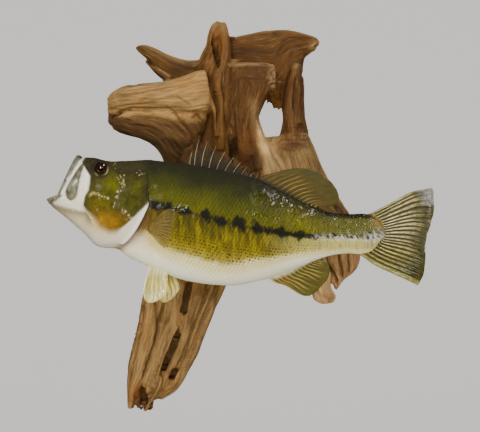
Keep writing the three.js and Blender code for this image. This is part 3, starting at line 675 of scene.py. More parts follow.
# Lines that fine painted glints are strewn along: ends [x, z], and how many.
GLINT_LINES = [
    ((-191, 30), (-172, 22), 6), ((-160, 49), (-149, 48), 3), ((-151, 52), (-152, 36), 4),
    ((-158, 33), (-157, 18), 4), ((-160, 16), (-150, 4), 7), ((-153, 9), (-138, -4), 9),
    ((-144, 0), (-134, -9), 5), ((-137, 62), (-119, 50), 9), ((-168, 68), (-146, 64), 5),
    ((-198, 60), (-192, 50), 3), ((-186, 10), (-172, 7), 3),
]
strewn = np.random.default_rng(17)
for start, stop, count in GLINT_LINES:
    line = mix(np.array(start), np.array(stop), strewn.random((count, 1)))
    spots = line + strewn.normal(0, 2.2, (count, 2))
    PAINTED_GLINTS += [[*spot, reach] for spot, reach in zip(spots, strewn.uniform(0.5, 1.0, count))]
print("beads of bone:", len(PAINTED_GLINTS))


def head_paint(x, z, behind, upper):
    """Colour of the head outside the mouth."""
    crown = ease((z - 58 + 16 * ease((x + 172) / 20)) / 18)
    mottle = layered(x / 5, z / 5, 0, 30) * 0.5 + layered(x / 1.8, z / 1.8, 0, 33, 2) * 0.34
    green = blend(plain((82, 80, 8), np.shape(x)), ((60, 60, 18), ease((x + 150) / 40) * 0.6))
    for cx, cz, reach, colour, strength in CHEEK_SPOTS:
        green = blend(green, (colour, strength * np.exp(-((x - cx) ** 2 + (z - cz) ** 2) / reach**2)))
    green = blend(green, ((64, 59, 29), crown * 0.9))
    green = 0.62 * green * (1 + 0.46 * mottle)[..., None]
    # Dotted lines along the bones; the pale dots along the eye bone are painted glints.
    dotted = ease(0.5 + 1.2 * noise(x / 1.7, z / 1.7, 0, 34))
    for line, shade in ((CHEEK_BONE, (60, 50, 14)), (COVER_RIM, (120, 98, 40)), (EYE_BONE, (150, 138, 60))):
        green = blend(green, (shade, 0.6 * bump(near_line(x, z, line)[0], 0, 2.2) * dotted))
    # Pale dots painted over the bones as glints.
    for gx, gz, reach in PAINTED_GLINTS:
        green = blend(green, ((214, 204, 142), 0.85 * bump(np.hypot(x - gx, z - gz), 0, reach * 0.75)))
    cream = plain((226, 219, 200), np.shape(x))
    fringe = bump(x - through(GILL_EDGE_Z, z), -2.5, 3.2) * (z < 14)
    cream = blend(
        cream, ((242, 238, 220), ease((z - 5) / 20)),
        ((222, 208, 150), 0.55 * bump(z, -2, 12) * ease((-180 - x) / 10)),
        ((214, 172, 74), 0.85 * bump(x, -177, 20) * bump(z, -12, 12)), ((252, 249, 238), 0.9 * fringe),
    )
    edge = inside(x, z, GREEN)
    soft = mix(12.0, 1.4, ease((x + 164) / 14))
    soft = mix(soft, 2.0, ease((z - 2) / 12))
    colour = cream + (green - cream) * ease(edge / soft + 0.5)[..., None]
    # Painted shadow along the jaw's edge: a dark line, and a broad painted shade below it.
    line, _, side = near_line(x, z, JAW_LINE)
    colour = blend(
        colour, ((104, 92, 60), 0.85 * bump(line, 0, 1.8) * (edge < 0)),
        ((140, 128, 92), 0.8 * bump(line, 0, 8) * (edge < 0) * (side < 0)),
    )
    plate = inside(x, z, MAXILLA)
    grey = srgb(104, 101, 78) * (1 + 0.7 * layered(x / 2.6, z / 5, 0, 36))[..., None]
    grey = blend(grey, ((74, 70, 52), 0.7 * bump(near_line(x, z, MAXILLA)[0], 0, 1.3) + 0 * x))
    colour = colour + (grey - colour) * ease(plate / 1.2 + 0.4)[..., None]
    lip = np.interp(z, *np.array(LIP_WIDTH).T)
    rim = np.where(upper, ease((lip - behind) / 1.5 + 0.5), 0)
    dark = srgb(76, 73, 58) * (1 + 0.9 * layered(x / 2.2, z / 2.2, 0, 37))[..., None]
    dark = blend(dark, ((48, 46, 38), ease((z - 66) / 10) * 0.7))
    colour = colour + (dark - colour) * (rim * 0.9)[..., None]
    front = near_line(x, z, MAXILLA_FRONT)[0]
    chin = ease((-210 - x) / 14) * ~upper
    streak = bump(behind, 3.6, 1.8) * ease(0.55 + noise(x / 2.4, z / 2.4, 0, 39))
    r, turn = np.hypot(x - EYE["x"], z - EYE["z"]), np.arctan2(z - EYE["z"], x - EYE["x"])
    lit = np.maximum(bump(turn, -0.45, 0.5), 0.6 * bump(turn, -2.2, 0.3))
    colour = blend(
        colour, ((244, 240, 222), np.where(upper, bump(behind, lip + 2.2, 1.9), 0)),
        ((62, 58, 42), np.where(upper, 0.85 * bump(front, 0, 1.0), 0)),
        ((92, 84, 64), 0.8 * chin * ease((8 - behind) / 3)), ((66, 56, 36), 0.9 * chin * streak),
        ((34, 30, 20), 0.8 * bump(r, 10.8, 2.2)), ((196, 178, 130), 0.85 * bump(r, 9.3, 0.75) * lit),
    )
    # The nostrils are painted near black, a painted shade inside the holes.
    for nx, nz in NOSTRILS:
        colour = blend(colour, ((8, 7, 6), bump(np.hypot(x - nx, z - nz), 0, 1.1)))
    return np.clip(colour, 0.001, 0.9)


def mouth_paint(p, behind):
    """Colour inside the mouth, from cream lips to a rosy throat."""
    deep = ease(-behind / 34)
    colour = blend(
        plain((214, 204, 178), p.shape[:-1]), ((176, 142, 120), 0.7 * deep),
        ((110, 60, 48), ease((deep - 0.75) / 0.25))
    )
    return colour * (1 + 0.10 * layered(p[..., 0] / 4, p[..., 1] / 4, p[..., 2] / 4, 38))[..., None]

# %% [markdown]
# The skin is glossy: taxidermists spray the painted fish with clear varnish, so a clear coat lies over the
# colour.

# %% Skin
ROWS = len(RINGS)
GILL_ROW = int(np.argmax(BEHIND_LIP[:, 0] > GILL_ROW_X - LIP_SIDE_X + 0.05))


def skin_colours():
    x, z = RINGS[..., 0], RINGS[..., 2]
    upper = np.broadcast_to(np.cos(PHI) >= 0, x.shape)
    colour = body_paint(x, z)
    rows = np.arange(ROWS)[:, None, None]
    head = head_paint(x, z, BEHIND_LIP, upper)
    colour = np.where(rows <= GILL_ROW, head, colour)
    colour = np.where((BEHIND_LIP < 0)[..., None], mouth_paint(RINGS, BEHIND_LIP), colour)
    nape = (1 - FOLD)[None, :] * np.exp(-np.abs(x + 122) / 14) * (BEHIND_LIP > 60)
    return colour + (body_paint(x, z) - colour) * (nape * (rows[..., 0] <= GILL_ROW))[..., None]


def varnished(name, roughness=0.38):
    g = Graph(name)
    place, gloss = g.place(), g.attribute("gloss", "Fac")
    pits, grain = g.speckle(place, 420, 2.0), g.speckle(place, 1300, 3.0)
    mottled = g.mixed(g.attribute("paint"), (0.01, 0.008, 0.003, 1), grain.between(0.4, 0.75, 0.0, 0.22))
    pitted = pits.between(0.62, 0.70, 0.0, 0.6) * g.attribute("pore", "Fac")
    mottled = g.mixed(mottled, (0.01, 0.009, 0.004, 1), pitted)
    return g.surface(
        Base_Color=mottled, Roughness=gloss.between(0.1, 0.6, 0.75, roughness), Coat_Weight=gloss,
        Coat_Roughness=0.14, IOR=1.42,
        Normal=g.bumped(pits + grain * 0.5, 0.5, 0.0006),
    )


skin = tube_mesh("skin", RINGS)
paint = skin_colours().reshape(-1, 3)
ends = [paint[:COLUMNS].mean(0), paint[-COLUMNS:].mean(0)]
store(skin, "paint", np.vstack([paint, ends]))
on_head = (np.arange(ROWS)[:, None] <= GILL_ROW) * (BEHIND_LIP > 8)
pores = ease(inside(RINGS[..., 0], RINGS[..., 2], GREEN) / 3) * on_head
store(skin, "pore", np.concatenate([pores.ravel(), [0, 0]]), "FLOAT")
bone = bump(near_line(RINGS[..., 0], RINGS[..., 2], CHEEK_BONE)[0], 0, 2.8)
shine = 0.6 - 0.58 * pores * (1 - bone)
store(skin, "gloss", np.concatenate([shine.ravel(), [0.6, 0.6]]), "FLOAT")
skin.data.materials.append(varnished("varnished skin"))
part_of(
    skin, "fish_skin", "head", "upper_jaw", "lower_jaw", "gill_cover_left", "gill_cover_right", "trunk",
    "tail_stem",
)

# %% [markdown]
# ## Scales
# A bass has about 65 scales along its side line. They sit in staggered rows and each lies over the front of
# the next, so only a scalloped rear edge shows. One thin plate is modelled, and Geometry Nodes set it on the
# root of every scale, turned to the body's surface, tilted a little at random, and bent to the curve of the
# flank. The tilt makes the varnish glint scale by scale.

# %% One scale
PITCH, ROW_STEP = 4.65, 4.2
PLATE_LENGTH, PLATE_WIDTH = 1.9, 1.85  # in pitches and in row steps


def scale_plate():
    """A rounded plate, 1 long and 1 wide, that rises to its rear edge. Heights are in thousandths."""
    along, across = np.linspace(0.12, 1, 6), np.linspace(-1, 1, 8)
    top = []
    for u in along:
        for v in across:
            reach = 0.12 + (u - 0.12) * (1 - 0.30 * v**2)
            half = 0.5 * (0.62 + 0.38 * math.sqrt(max(0, 1 - ((u - 0.62) / 0.55) ** 2)))
            edge = 0.12 * ease(np.array((u - 0.82) / 0.18))
            top.append([reach, v * half, (0.12 + 0.62 * reach - float(edge)) * MM])
    top = np.array(top)
    bottom = top * [1, 1, 1] - [0, 0, 0.26 * MM]
    rows, columns = len(along), len(across)
    faces = grid_faces(rows, columns, wrap=False)
    rim = [j for j in range(columns)] + [i * columns + columns - 1 for i in range(1, rows)]
    rim += [(rows - 1) * columns + j for j in range(columns - 2, -1, -1)]
    rim += [i * columns for i in range(rows - 2, 0, -1)]
    lower = {k: rows * columns + n for n, k in enumerate(rim)}
    verts = np.vstack([top, bottom[rim]])
    for a, b in zip(rim, rim[1:] + rim[:1]):
        faces.append([b, a, lower[a], lower[b]])
    faces.append([lower[k] for k in rim])
    plate = new_object("scale_plate", verts, faces)
    local = np.column_stack([verts[:, 0], verts[:, 1] + 0.5, np.zeros(len(verts))])
    store(plate, "local", local, "FLOAT_VECTOR")
    return plate


plate = scale_plate()
plate.data.calc_loop_triangles()
print("one scale:", len(plate.data.loop_triangles), "triangles")

# %% Roots of the scales
SIZE_ALONG = [[-170, 0.8], [-110, 0.98], [20, 1], [100, 0.84], [188, 0.62]]


def frame_on(surface, a, b, step_a=0.4, step_b=0.012):
    """Places on a surface of two parameters, with the direction of the first and the outward normal."""
    p = surface(a, b)
    along = surface(a + step_a, b) - surface(a - step_a, b)
    round_ = surface(a, b + step_b) - surface(a, b - step_b)
    normal = np.cross(round_, along)
    return p, unit(along), unit(normal)


def unit(v):
    return v / np.maximum(1e-9, np.linalg.norm(v, axis=-1, keepdims=True))


def turn_of(along, normal):
    """Euler angles that carry +X to along and +Z to normal."""
    across = unit(np.cross(normal, along))
    along = np.cross(across, normal)
    axes = np.stack([along, across, normal], -1)
    return np.array([Matrix(m).to_euler() for m in axes])


def trunk_roots(left):
    """Scale roots of one side: places, directions and the distance from the side line, all in mm."""
    x = np.linspace(-172, 186, 717)
    size = through(SIZE_ALONG, x)
    number = np.concatenate([[0], np.cumsum(np.diff(x) / (PITCH * size[1:]))])
    phi = np.linspace(0.004, math.pi - 0.004, 361)
    ring = trunk_point(x[:, None], phi[None, :])
    steps = np.linalg.norm(np.diff(ring, axis=1), axis=2)
    arc = np.concatenate([np.zeros((len(x), 1)), np.cumsum(steps, 1)], 1)
    band = through(BAND, x)
    arc -= np.array([np.interp(-b, -z, a) for a, z, b in zip(arc, ring[..., 2], band)])[:, None]
    found = []
    for k in range(-24, 40):
        n = np.arange(0, number[-1]) + 0.5 * (k % 2)
        at = np.interp(n, number, x)
        i = np.clip(np.searchsorted(x, at), 0, len(x) - 1)
        off = k * ROW_STEP * size[i]
        fits = (off > arc[i, 0] + 0.5) & (off < arc[i, -1] - 0.3)
        for j, o, xx in zip(i[fits], off[fits], at[fits]):
            found.append([xx, np.interp(o, arc[j], phi), o, size[j], k])
    found = np.array(found)
    xs, angle = found[:, 0], found[:, 1]
    surface = lambda a, b: trunk_point(a, b if left else 2 * np.pi - b)
    p, along, normal = frame_on(surface, xs, angle)
    normal = normal if left else -normal
    behind_gill = p[:, 0] > through(GILL_EDGE_Z, p[:, 2]) + 0.5
    nape = angle < 0.66
    keep = np.where(nape, p[:, 0] > -170 + 8 * noise(angle * 6, 0, 0, 3), behind_gill) & (p[:, 0] < 186)
    return p[keep], along[keep], normal[keep], found[keep]


LEFT, RIGHT = trunk_roots(True), trunk_roots(False)
print("scales on each side:", len(LEFT[0]), len(RIGHT[0]))

# %% Scale tree


class Tree:
    """Geometry Nodes with named inputs, which end by giving the pieces their finish."""

    def __init__(self, name, **inputs):
        self.tree = bpy.data.node_groups.new(name, "GeometryNodeTree")
        for label, kind in (*inputs.items(), ("Finish", "Material")):
            self.tree.interface.new_socket(label, in_out="INPUT", socket_type="NodeSocket" + kind)
        self.tree.interface.new_socket("Pieces", in_out="OUTPUT", socket_type="NodeSocketGeometry")
        self.given = self.tree.nodes.new("NodeGroupInput").outputs

    def add(self, kind, *values, out=0, settings=None, **inputs):
        """Adds a node and gives one output. values fill its first sockets, inputs those of that name."""
        made = self.tree.nodes.new(kind)
        for key, value in (settings or {}).items():
            setattr(made, key, value)
        named = {key.replace("_", " "): value for key, value in inputs.items()}
        for key, value in (*enumerate(values), *named.items()):
            if isinstance(value, bpy.types.NodeSocket):
                self.tree.links.new(value, made.inputs[key])
            else:
                made.inputs[key].default_value = value
        return made.outputs[out]

    def named(self, attribute, kind="FLOAT_VECTOR"):
        return self.add("GeometryNodeInputNamedAttribute", settings=dict(data_type=kind), Name=attribute)

    def times(self, a, b):
        return self.add("ShaderNodeMath", a, b, settings=dict(operation="MULTIPLY"))

    def scaled(self, vector, scale):
        return self.add("ShaderNodeVectorMath", settings=dict(operation="SCALE"), Vector=vector, Scale=scale)

    def closed(self, geometry):
        """Sets the finish and ends the tree."""
        done = self.add("GeometryNodeSetMaterial", Geometry=geometry, Material=self.given["Finish"])
        self.tree.links.new(done, self.tree.nodes.new("NodeGroupOutput").inputs[0])
        return self.tree


def scale_tree():
    """Sets a plate on every root, each a little loose and bent by its own curl."""
    t = Tree("scales", Roots="Geometry", Plate="Object", Roll="Float", Pitch="Float", Seed="Int")
    plate_shape = t.add("GeometryNodeObjectInfo", Object=t.given["Plate"], out="Geometry")
    most = t.add("ShaderNodeCombineXYZ", X=t.given["Roll"], Y=t.given["Pitch"], Z=0.03)
    vectors, own_axes = dict(data_type="FLOAT_VECTOR"), dict(rotation_space="LOCAL")
    wobble = t.add(
        "FunctionNodeRandomValue", settings=vectors, Min=t.scaled(most, -1.0), Max=most, Seed=t.given["Seed"],
    )
    by = t.scaled(wobble, t.named("loose", "FLOAT"))
    turned = t.add("FunctionNodeRotateRotation", settings=own_axes, Rotation=t.named("turn"), Rotate_By=by)
    placed = t.add(
        "GeometryNodeInstanceOnPoints", Points=t.given["Roots"], Instance=plate_shape, Rotation=turned,
        Scale=t.named("size"),
    )
    real = t.add("GeometryNodeRealizeInstances", placed)
    across = t.add("ShaderNodeSeparateXYZ", t.named("local"), out="Y")
    off = t.add("ShaderNodeMath", across, 0.5, settings=dict(operation="SUBTRACT"))
    drop = t.times(t.times(off, off), t.named("curl", "FLOAT"))
    return t.closed(t.add("GeometryNodeSetPosition", Geometry=real, Offset=t.scaled(t.named("out"), drop)))


def evaluated(made, name):
    """The result of a piece's modifiers as a plain mesh object; the source is removed."""
    graph = bpy.context.evaluated_depsgraph_get()
    result = made.evaluated_get(graph)
    mesh = bpy.data.meshes.new_from_object(result, preserve_all_data_layers=True, depsgraph=graph)
    bpy.data.objects.remove(made)
    mesh.name = name
    plain = bpy.data.objects.new(name, mesh)
    bpy.context.scene.collection.objects.link(plain)
    return plain


def run_tree(made, tree, name, **settings):
    """Sets a tree's named inputs on a piece and returns the finished plain mesh."""
    modifier = made.modifiers.new(name, "NODES")
    modifier.node_group = tree
    keys = {item.name: item.identifier for item in tree.interface.items_tree if item.in_out == "INPUT"}
    for key, value in settings.items():
        modifier[keys[key]] = value
    return evaluated(made, name)


def read(made, name, width, field):
    layer = made.data.attributes[name]
    values = np.empty(len(layer.data) * width, np.float32)
    layer.data.foreach_get(field, values)
    return values.reshape(-1, width).astype(float)


def scale_finish():
    """Varnished scales: the colour of the skin, a dark dot on the gold flank and a fine darker edge."""
    g = Graph("varnished scales")
    colour, local = g.attribute("paint"), g.attribute("local", "Vector")
    parts = g.tree.nodes.new("ShaderNodeSeparateXYZ")
    g.tree.links.new(local.out, parts.inputs[0])
    along, across = Socket(g, parts.outputs[0]), Socket(g, parts.outputs[1]) - 0.5
    fine, drift = g.speckle(g.place(), 900, 2.0), g.speckle(g.place(), 190, 1.0) - 0.5
    away = ((along + drift * 0.5 - 0.74) * 1.5).power(2.0) + ((across - drift * 0.5) * 1.15).power(2.0)
    dot = (away + (fine - 0.5) * 0.03 - g.attribute("dot", "Fac") * 0.036).between(-0.010, 0.008, 1.0, 0.0)
    edge = along.between(0.84, 0.98, 0.0, 1.0) * g.attribute("edge", "Fac")
    shade = g.mixed(colour, (0.012, 0.010, 0.004, 1), edge)
    shade = g.mixed(shade, (0.022, 0.014, 0.004, 1), dot * 0.9)
    ridges = g.node("ShaderNodeMath", dict(operation="SINE"), [across * 120.0]) * 0.12
    gloss = g.attribute("gloss", "Fac")
    dome = (across.power(2.0) * 13.0 + (along - 0.7).power(2.0) * 24.0) * gloss
    return g.surface(
        Base_Color=shade, Roughness=gloss.between(0.25, 0.95, 0.88, 0.1), IOR=1.5,
        Normal=g.bumped(fine * (1.5 - 0.3 * gloss) + ridges - dome, 0.4, 0.00025),
    )


SCALES = scale_tree()
SCALE_FINISH = scale_finish()


def scale_coat(name, roots, paint_at, sizes, lift, curl, seed, **looks):
    """One coat piece. sizes are (length, width) in mm; looks are dot, edge, gloss and loose of each scale."""
    p, along, normal = roots[:3]
    base = new_object(name + " roots", p * MM, [])
    store(base, "turn", turn_of(along, normal), "FLOAT_VECTOR")
    store(base, "size", np.column_stack([sizes * MM, lift]), "FLOAT_VECTOR")
    store(base, "out", normal, "FLOAT_VECTOR")
    store(base, "curl", -curl * MM, "FLOAT")
    for look, values in looks.items():
        store(base, look, values + np.zeros(len(p)), "FLOAT")
    spread = roots[3][:, [0, 2]]
    low, high = spread.min(0), spread.max(0)
    root = 0.02 + 0.96 * (spread - low) / (high - low)
    store(base, "root", np.column_stack([root, np.zeros(len(p))]), "FLOAT_VECTOR")
    made = run_tree(base, SCALES, name, Plate=plate, Roll=0.09, Pitch=0.06, Seed=seed, Finish=SCALE_FINISH)
    local, root = read(made, "local", 3, "vector"), read(made, "root", 3, "vector")
    unwrap(made, root[:, :2] + (local[:, :2] - 0.5) * 0.003)
    place = read(made, "position", 3, "vector") / MM
    store(made, "paint", paint_at(place))
    for used in ("turn", "size", "out", "curl", "root", "loose"):
        if used in made.data.attributes:
            made.data.attributes.remove(made.data.attributes[used])
    made.data.shade_smooth()
    return made


def trunk_coat(name, roots, seed):
    p, _, normal, found = roots
    x, z = p[:, 0], p[:, 2]
    size = found[:, 3]
    random = np.random.default_rng(seed)
    down = (through(BAND, x) - z) / (through(BAND, x) - through(CREAM, x))
    belly = ease((down - 0.95) / 0.3)
    sizes = np.column_stack([PITCH * PLATE_LENGTH * size, ROW_STEP * PLATE_WIDTH * size])
    lift = mix(1.0, 0.14, belly) * (0.75 + 0.25 * size)
    reach = ease((down - 0.38) / 0.3) * ease((1.04 - down) / 0.12)
    reach = reach * mix(1, 0.45, ease((x - 50) / 60)) * ease((x + 128) / 15)
    dots = reach * random.uniform(0.3, 1.12, len(x)) ** 1.3
    bend = np.abs(normal[:, 2])
    curl = (ROW_STEP * PLATE_WIDTH * size) ** 2 / 2 / mix(48, 17, ease((bend - 0.35) / 0.5))
    above = z - through(BAND, x)
    share = above / (through(BACK, x) - through(BAND, x))
    ridge = bump(share, mix(0.68, 0.86, ease((x - 22) / 116)), 0.26) * ease((x + 4) / 24)
    middle = bump(z - mix(6, -6, (x - 3) / 44), 0, 4.2) * ease(x / 5) * ease((50 - x) / 5)
    shoulder = ease((through([[-116, 42], [-100, 31], [-80, 20], [-55, 9]], x) - z) / 4)
    shoulder = shoulder * ease((above + 8) / 4) * ease((-60 - x) / 10)
    loin = 0.75 * ease((x - 46) / 20) * ease(share / 0.2)
    glint = np.maximum.reduce([ridge, middle, shoulder, loin])
    loose = mix(mix(0.4, 1.7, glint - 0.7 * shoulder), 0.04, belly)
    few = mix(0.3, 0.78, shoulder) - 0.3 * middle
    glint = glint * mix(0.02, 1, ease((random.random(len(x)) - few) / 0.1))
    looks = dict(dot=dots, edge=mix(0.44, 0.01, belly), gloss=mix(0.2, 0.98, glint), loose=loose)
    for end, part in (("front", x < np.median(x)), ("rear", x >= np.median(x))):
        made = scale_coat(
            f"{name}_{end}", [values[part] for values in roots], lambda q: body_paint(q[:, 0], q[:, 2]),
            sizes[part], lift[part], curl[part], seed,
            **{look: values[part] for look, values in looks.items()},
        )
        part_of(made, "fish_skin")


trunk_coat("scales_left", LEFT, 5)
trunk_coat("scales_right", RIGHT, 6)

# %% [markdown]
# The cheek and the gill cover carry smaller scales, set into the skin between the bare ridges of bone.

# %% Scales of the cheek and the gill cover
CHEEK = [
    [-172, 46], [-160, 50], [-157, 42], [-157, 34], [-162, 24], [-165, 14], [-170, 7], [-184, 8], [-192, 20],
    [-192, 32], [-184, 31], [-170, 34], [-166, 40],
]
COVER = [
    [-148, 58], [-132, 60], [-124, 46], [-123.5, 30], [-128, 16], [-139, 4], [-147, 1], [-152, 9], [-156, 18],
    [-150, 28], [-147, 40],
]


def cheek_roots(left, patch_of, pitch):
    """Roots inside an outline on one side of the head, found on the nearest point of the skin's grid."""
    rows = (np.arange(ROWS) <= GILL_ROW) & (BEHIND_LIP[:, 0] > 3)
    columns = np.sin(PHI) > 0.1 if left else np.sin(PHI) < -0.1
    grid = RINGS[rows][:, columns]
    normal = unit(np.cross(np.gradient(grid, axis=0), np.gradient(grid, axis=1)))
    normal *= np.sign(normal[..., 1:2]) * (-1 if left else 1)
    spots, turns = grid.reshape(-1, 3), normal.reshape(-1, 3)
    low, high = np.min(patch_of, 0), np.max(patch_of, 0)
    found = []
    for k, z in enumerate(np.arange(low[1], high[1], pitch * 0.5)):
        found += [[x + 0.5 * pitch * (k % 2), z] for x in np.arange(low[0], high[0], pitch)]
    found = np.array(found)
    found[:, 1] += 0.5 * noise(found[:, 0] / 9, 0, found[:, 1] / 9, 16) * pitch
    found = found[inside(found[:, 0], found[:, 1], patch_of) > 0.4]
    near = np.array([((spots[:, [0, 2]] - f) ** 2).sum(1).argmin() for f in found])
    n = unit(turns[near])
    away = found - spots[near][:, [0, 2]]
    y = spots[near, 1] - (n[:, 0] * away[:, 0] + n[:, 2] * away[:, 1]) / n[:, 1]
    place = np.column_stack([found[:, 0], y, found[:, 1]])
    along = np.array([0.97, 0, -0.24]) - n * (n @ [0.97, 0, -0.24])[:, None]
    return place, unit(along), n, np.column_stack([found[:, 0], 0 * y, found[:, 1]])


def head_coat(name, left, patch_of, pitch, seed):
    roots = cheek_roots(left, patch_of, pitch)
    sizes = np.tile([1.7 * pitch, 1.25 * pitch], (len(roots[0]), 1))
    colours = lambda q: head_paint(q[:, 0], q[:, 2], np.full(len(q), 60.0), np.ones(len(q), bool))
    flat = np.full(len(sizes), 0.02)
    chain = bump(near_line(roots[0][:, 0], roots[0][:, 2], CHEEK_BONE)[0], 0, 7)
    made = scale_coat(
        name, roots, colours, sizes, np.full(len(sizes), 0.75), flat, seed, dot=0.0, edge=0.22,
        gloss=0.12 + 0.8 * chain, loose=0.7 + 0.8 * chain,
    )
    part_of(made, "fish_skin")


for left, word in ((True, "left"), (False, "right")):
    head_coat(f"cheek_scales_{word}", left, CHEEK, 2.7, 8)
    head_coat(f"cover_scales_{word}", left, COVER, 3.5, 9)

# %% [markdown]
# ## Fins
# A soft fin is a fan of bony rays with thin skin between them. Each ray forks twice on its way to the edge,
# and the skin hangs a little back between the ray tips. The fin is a grid from the first ray to the last and
# from root to edge; its two faces are pushed apart where a ray runs, so the rays are real ridges that catch
# the light.

# %% Fin outlines, as [x, z] edges of a patch
TAIL_FIN = dict(
    root=[[169, 3.2], [184, -8], [187, -21.5], [180, -36], [156.1, -50.3]],
    first=[[169, 3.2], [177.7, 7], [201.3, 19.5], [223.2, 31.2], [241.7, 35.4], [251.8, 37.1]],
    tips=[
        [251.8, 37.1], [254, 27.6], [253.5, 6.1], [250, -9.2], [244.8, -24.2], [241.7, -40.8], [242.5, -51.1],
        [241.7, -66.2], [240, -77.9], [233.3, -91.3],
    ],
    last=[[156.1, -50.3], [164.5, -56.1], [177.7, -65.3], [201.3, -76.3], [223.2, -86.3], [233.3, -91.3]],
)
SOFT_DORSAL = dict(
    root=[[19, 47], [50, 33], [75, 19], [99, 8]],
    first=[[19, 47], [34.2, 54.2], [46.7, 57.6], [58.4, 60.9], [71.9, 63]],
    tips=[
        [71.9, 63], [84.5, 63], [95.4, 60.5], [105.5, 55.9], [115.5, 49.2], [123, 41.7], [128.2, 33.3],
        [130.3, 25.7], [129.8, 19.9], [126.3, 15.7],
    ],
    last=[[99, 8], [103, 12.8], [109.6, 13.2], [118, 13.9], [126.3, 15.7]],
)
ANAL = dict(
    root=[[100, -53], [80, -62], [58, -72], [33, -80]],
    first=[[100, -53], [103.5, -58.6], [107.4, -59.5], [115.8, -61.1]],
    tips=[[115.8, -61.1], [118.4, -67.9], [115.8, -81.3], [107.4, -93], [94, -104], [87.3, -106.5]],
    last=[[33, -80], [45, -88], [58.7, -92.1], [77.2, -103], [87.3, -106.5]],
)
PECTORAL = dict(
    root=[[-118, -10], [-119.5, -15], [-117.5, -21]],
    first=[[-118, -10], [-109.2, -3.5], [-98.2, 6.3], [-90.8, 10]],
    tips=[[-90.8, 10], [-84.2, 8.2], [-83.3, 0], [-84.2, -15], [-87.9, -27], [-92.6, -35.3], [-96.3, -42.6]],
    last=[[-117.5, -21], [-112.9, -26.1], [-104.6, -35.3], [-96.3, -42.6]],
)
PELVIC = dict(
    root=[[-117, -62], [-108, -66], [-94, -72]],
    first=[[-117, -62], [-123.7, -83.6], [-126.1, -96.5], [-124.6, -109.2]],
    tips=[[-124.6, -109.2], [-119.1, -113.6], [-108, -111.2], [-98.8, -103.8]],
    last=[[-94, -72], [-94.8, -82], [-94.4, -97.4], [-98.8, -103.8]],
)


def patch(shape, u, v):
    """Places [x, z] between the four edges of a fin; u from first to last ray, v from root to edge."""
    u, v = np.broadcast_arrays(u, v)
    ways = (("root", u), ("first", v), ("tips", u), ("last", v))
    low, start, high, end = (curve(shape[edge], t) for edge, t in ways)
    u, v = u[..., None], v[..., None]
    near, far, first_tip, last_tip = (
        np.array(shape[edge][k], float) for edge in ("root", "tips") for k in (0, -1)
    )
    flat = (1 - u) * (1 - v) * near + u * (1 - v) * far + (1 - u) * v * first_tip + u * v * last_tip
    return (1 - u) * start + u * end + (1 - v) * low + v * high - flat


def ray_ridge(u, v, rays, fork=0.42, slim=(0.20, 0.075)):
    """1 along a ray and 0 on the skin between, each ray forking twice."""
    f = (u * rays) % 1 - 0.5
    first = 0.245 * ease((v - fork) / (1.05 - fork))
    second = 0.115 * ease((v - fork - 0.25) / (0.8 - fork))
    width = mix(*slim, v)
    ridge = 0
    for a in (-1, 1):
        for b in (-1, 1):
            ridge = np.maximum(ridge, np.exp(-(((f - a * first - b * second) / width) ** 2)))
    return ridge


def fin_finish(name, alpha=False, roughness=0.32, coat=0.6):
    g = Graph(name)
    colour = g.attribute("paint")
    fine = g.speckle(g.place(), 700, 3.0)
    shade = g.mixed(colour, (0.01, 0.009, 0.003, 1), fine.between(0.4, 0.75, 0.0, 0.16))
    inputs = dict(Alpha=g.attribute("alpha", "Fac")) if alpha else {}
    return g.surface(
        Base_Color=shade, Roughness=roughness, IOR=1.45, Coat_Weight=coat, Coat_Roughness=0.1,
        Normal=g.bumped(fine, 0.25, 0.0003), **inputs,
    )


FIN_FINISH = fin_finish("varnished fins")
SATIN_FINISH = fin_finish("satin fins", roughness=0.55, coat=0.08)
THIN_FINISH = fin_finish("thin fin skin", alpha=True, roughness=0.55, coat=0.0)


def fin(
    name, shape, middle, thick, rays, colours, node, skin_part=0.34, rows=64, per_ray=14, ragged=0.02, seed=0,
    thin=None, fork=0.42, slim=(0.20, 0.075), finish=None,
):
    """One soft fin. middle(x, z, u, v) is its centre plane and thick its depth in mm at root and edge."""
    u = np.linspace(0, 1, rays * per_ray + 1)[:, None]
    v = np.linspace(0, 1, rows)[None, :]
    ridge = ray_ridge(u, v, rays, fork, slim)
    tip = ray_ridge(u, np.ones((1, 1)), rays, fork, slim)
    frayed = np.maximum(0, noise(u * rays * 0.9, 0, 0, seed + 90) - 0.25) * 1.6
    reach = 1 - ragged * (0.55 * (1 - tip) + frayed)
    flat = patch(shape, u, v * mix(1, reach, ease((v - 0.5) / 0.5)))
    x, z = flat[..., 0], flat[..., 1]
    y = middle(x, z, u, v)
    depth = mix(thick[0], thick[1], v) / 2
    segment = 0.05 * np.sin(v * 120 + 3 * np.sin(u * 40)) * ease((v - 0.25) / 0.2)
    half = depth * (skin_part + (1 - skin_part) * ridge * (1 + segment))
    half = half * ease((1.002 - v) / 0.02 + 0.25)
    sides = np.stack([np.stack([x, y - half, z], -1), np.stack([x, y + half, z], -1)])
    made = new_object(name, sides.reshape(-1, 3) * MM, sheet_faces(*x.shape))
    face_out(made)
    paint = np.clip(colours(u + 0 * v, v + 0 * u, ridge), 0.001, 0.9)
    store(made, "paint", np.concatenate([paint.reshape(-1, 3)] * 2))
    if thin is not None:
        alpha = np.clip(thin(u + 0 * v, v + 0 * u, ridge), 0, 1).ravel()
        store(made, "alpha", np.concatenate([alpha] * 2), "FLOAT")
    made.data.materials.append(finish or (FIN_FINISH if thin is None else THIN_FINISH))
    part_of(made, "fish_fins", node)
    return made


# %% [markdown]
# Each fin has its own colours. The rays are pale, the skin between them is olive, and both darken or fade in
# places, as the airbrush left them.

# %% Colours of the fins


def flecks(u, v, across, along, seed):
    return layered(u * across, v * along, 0, seed, 2)


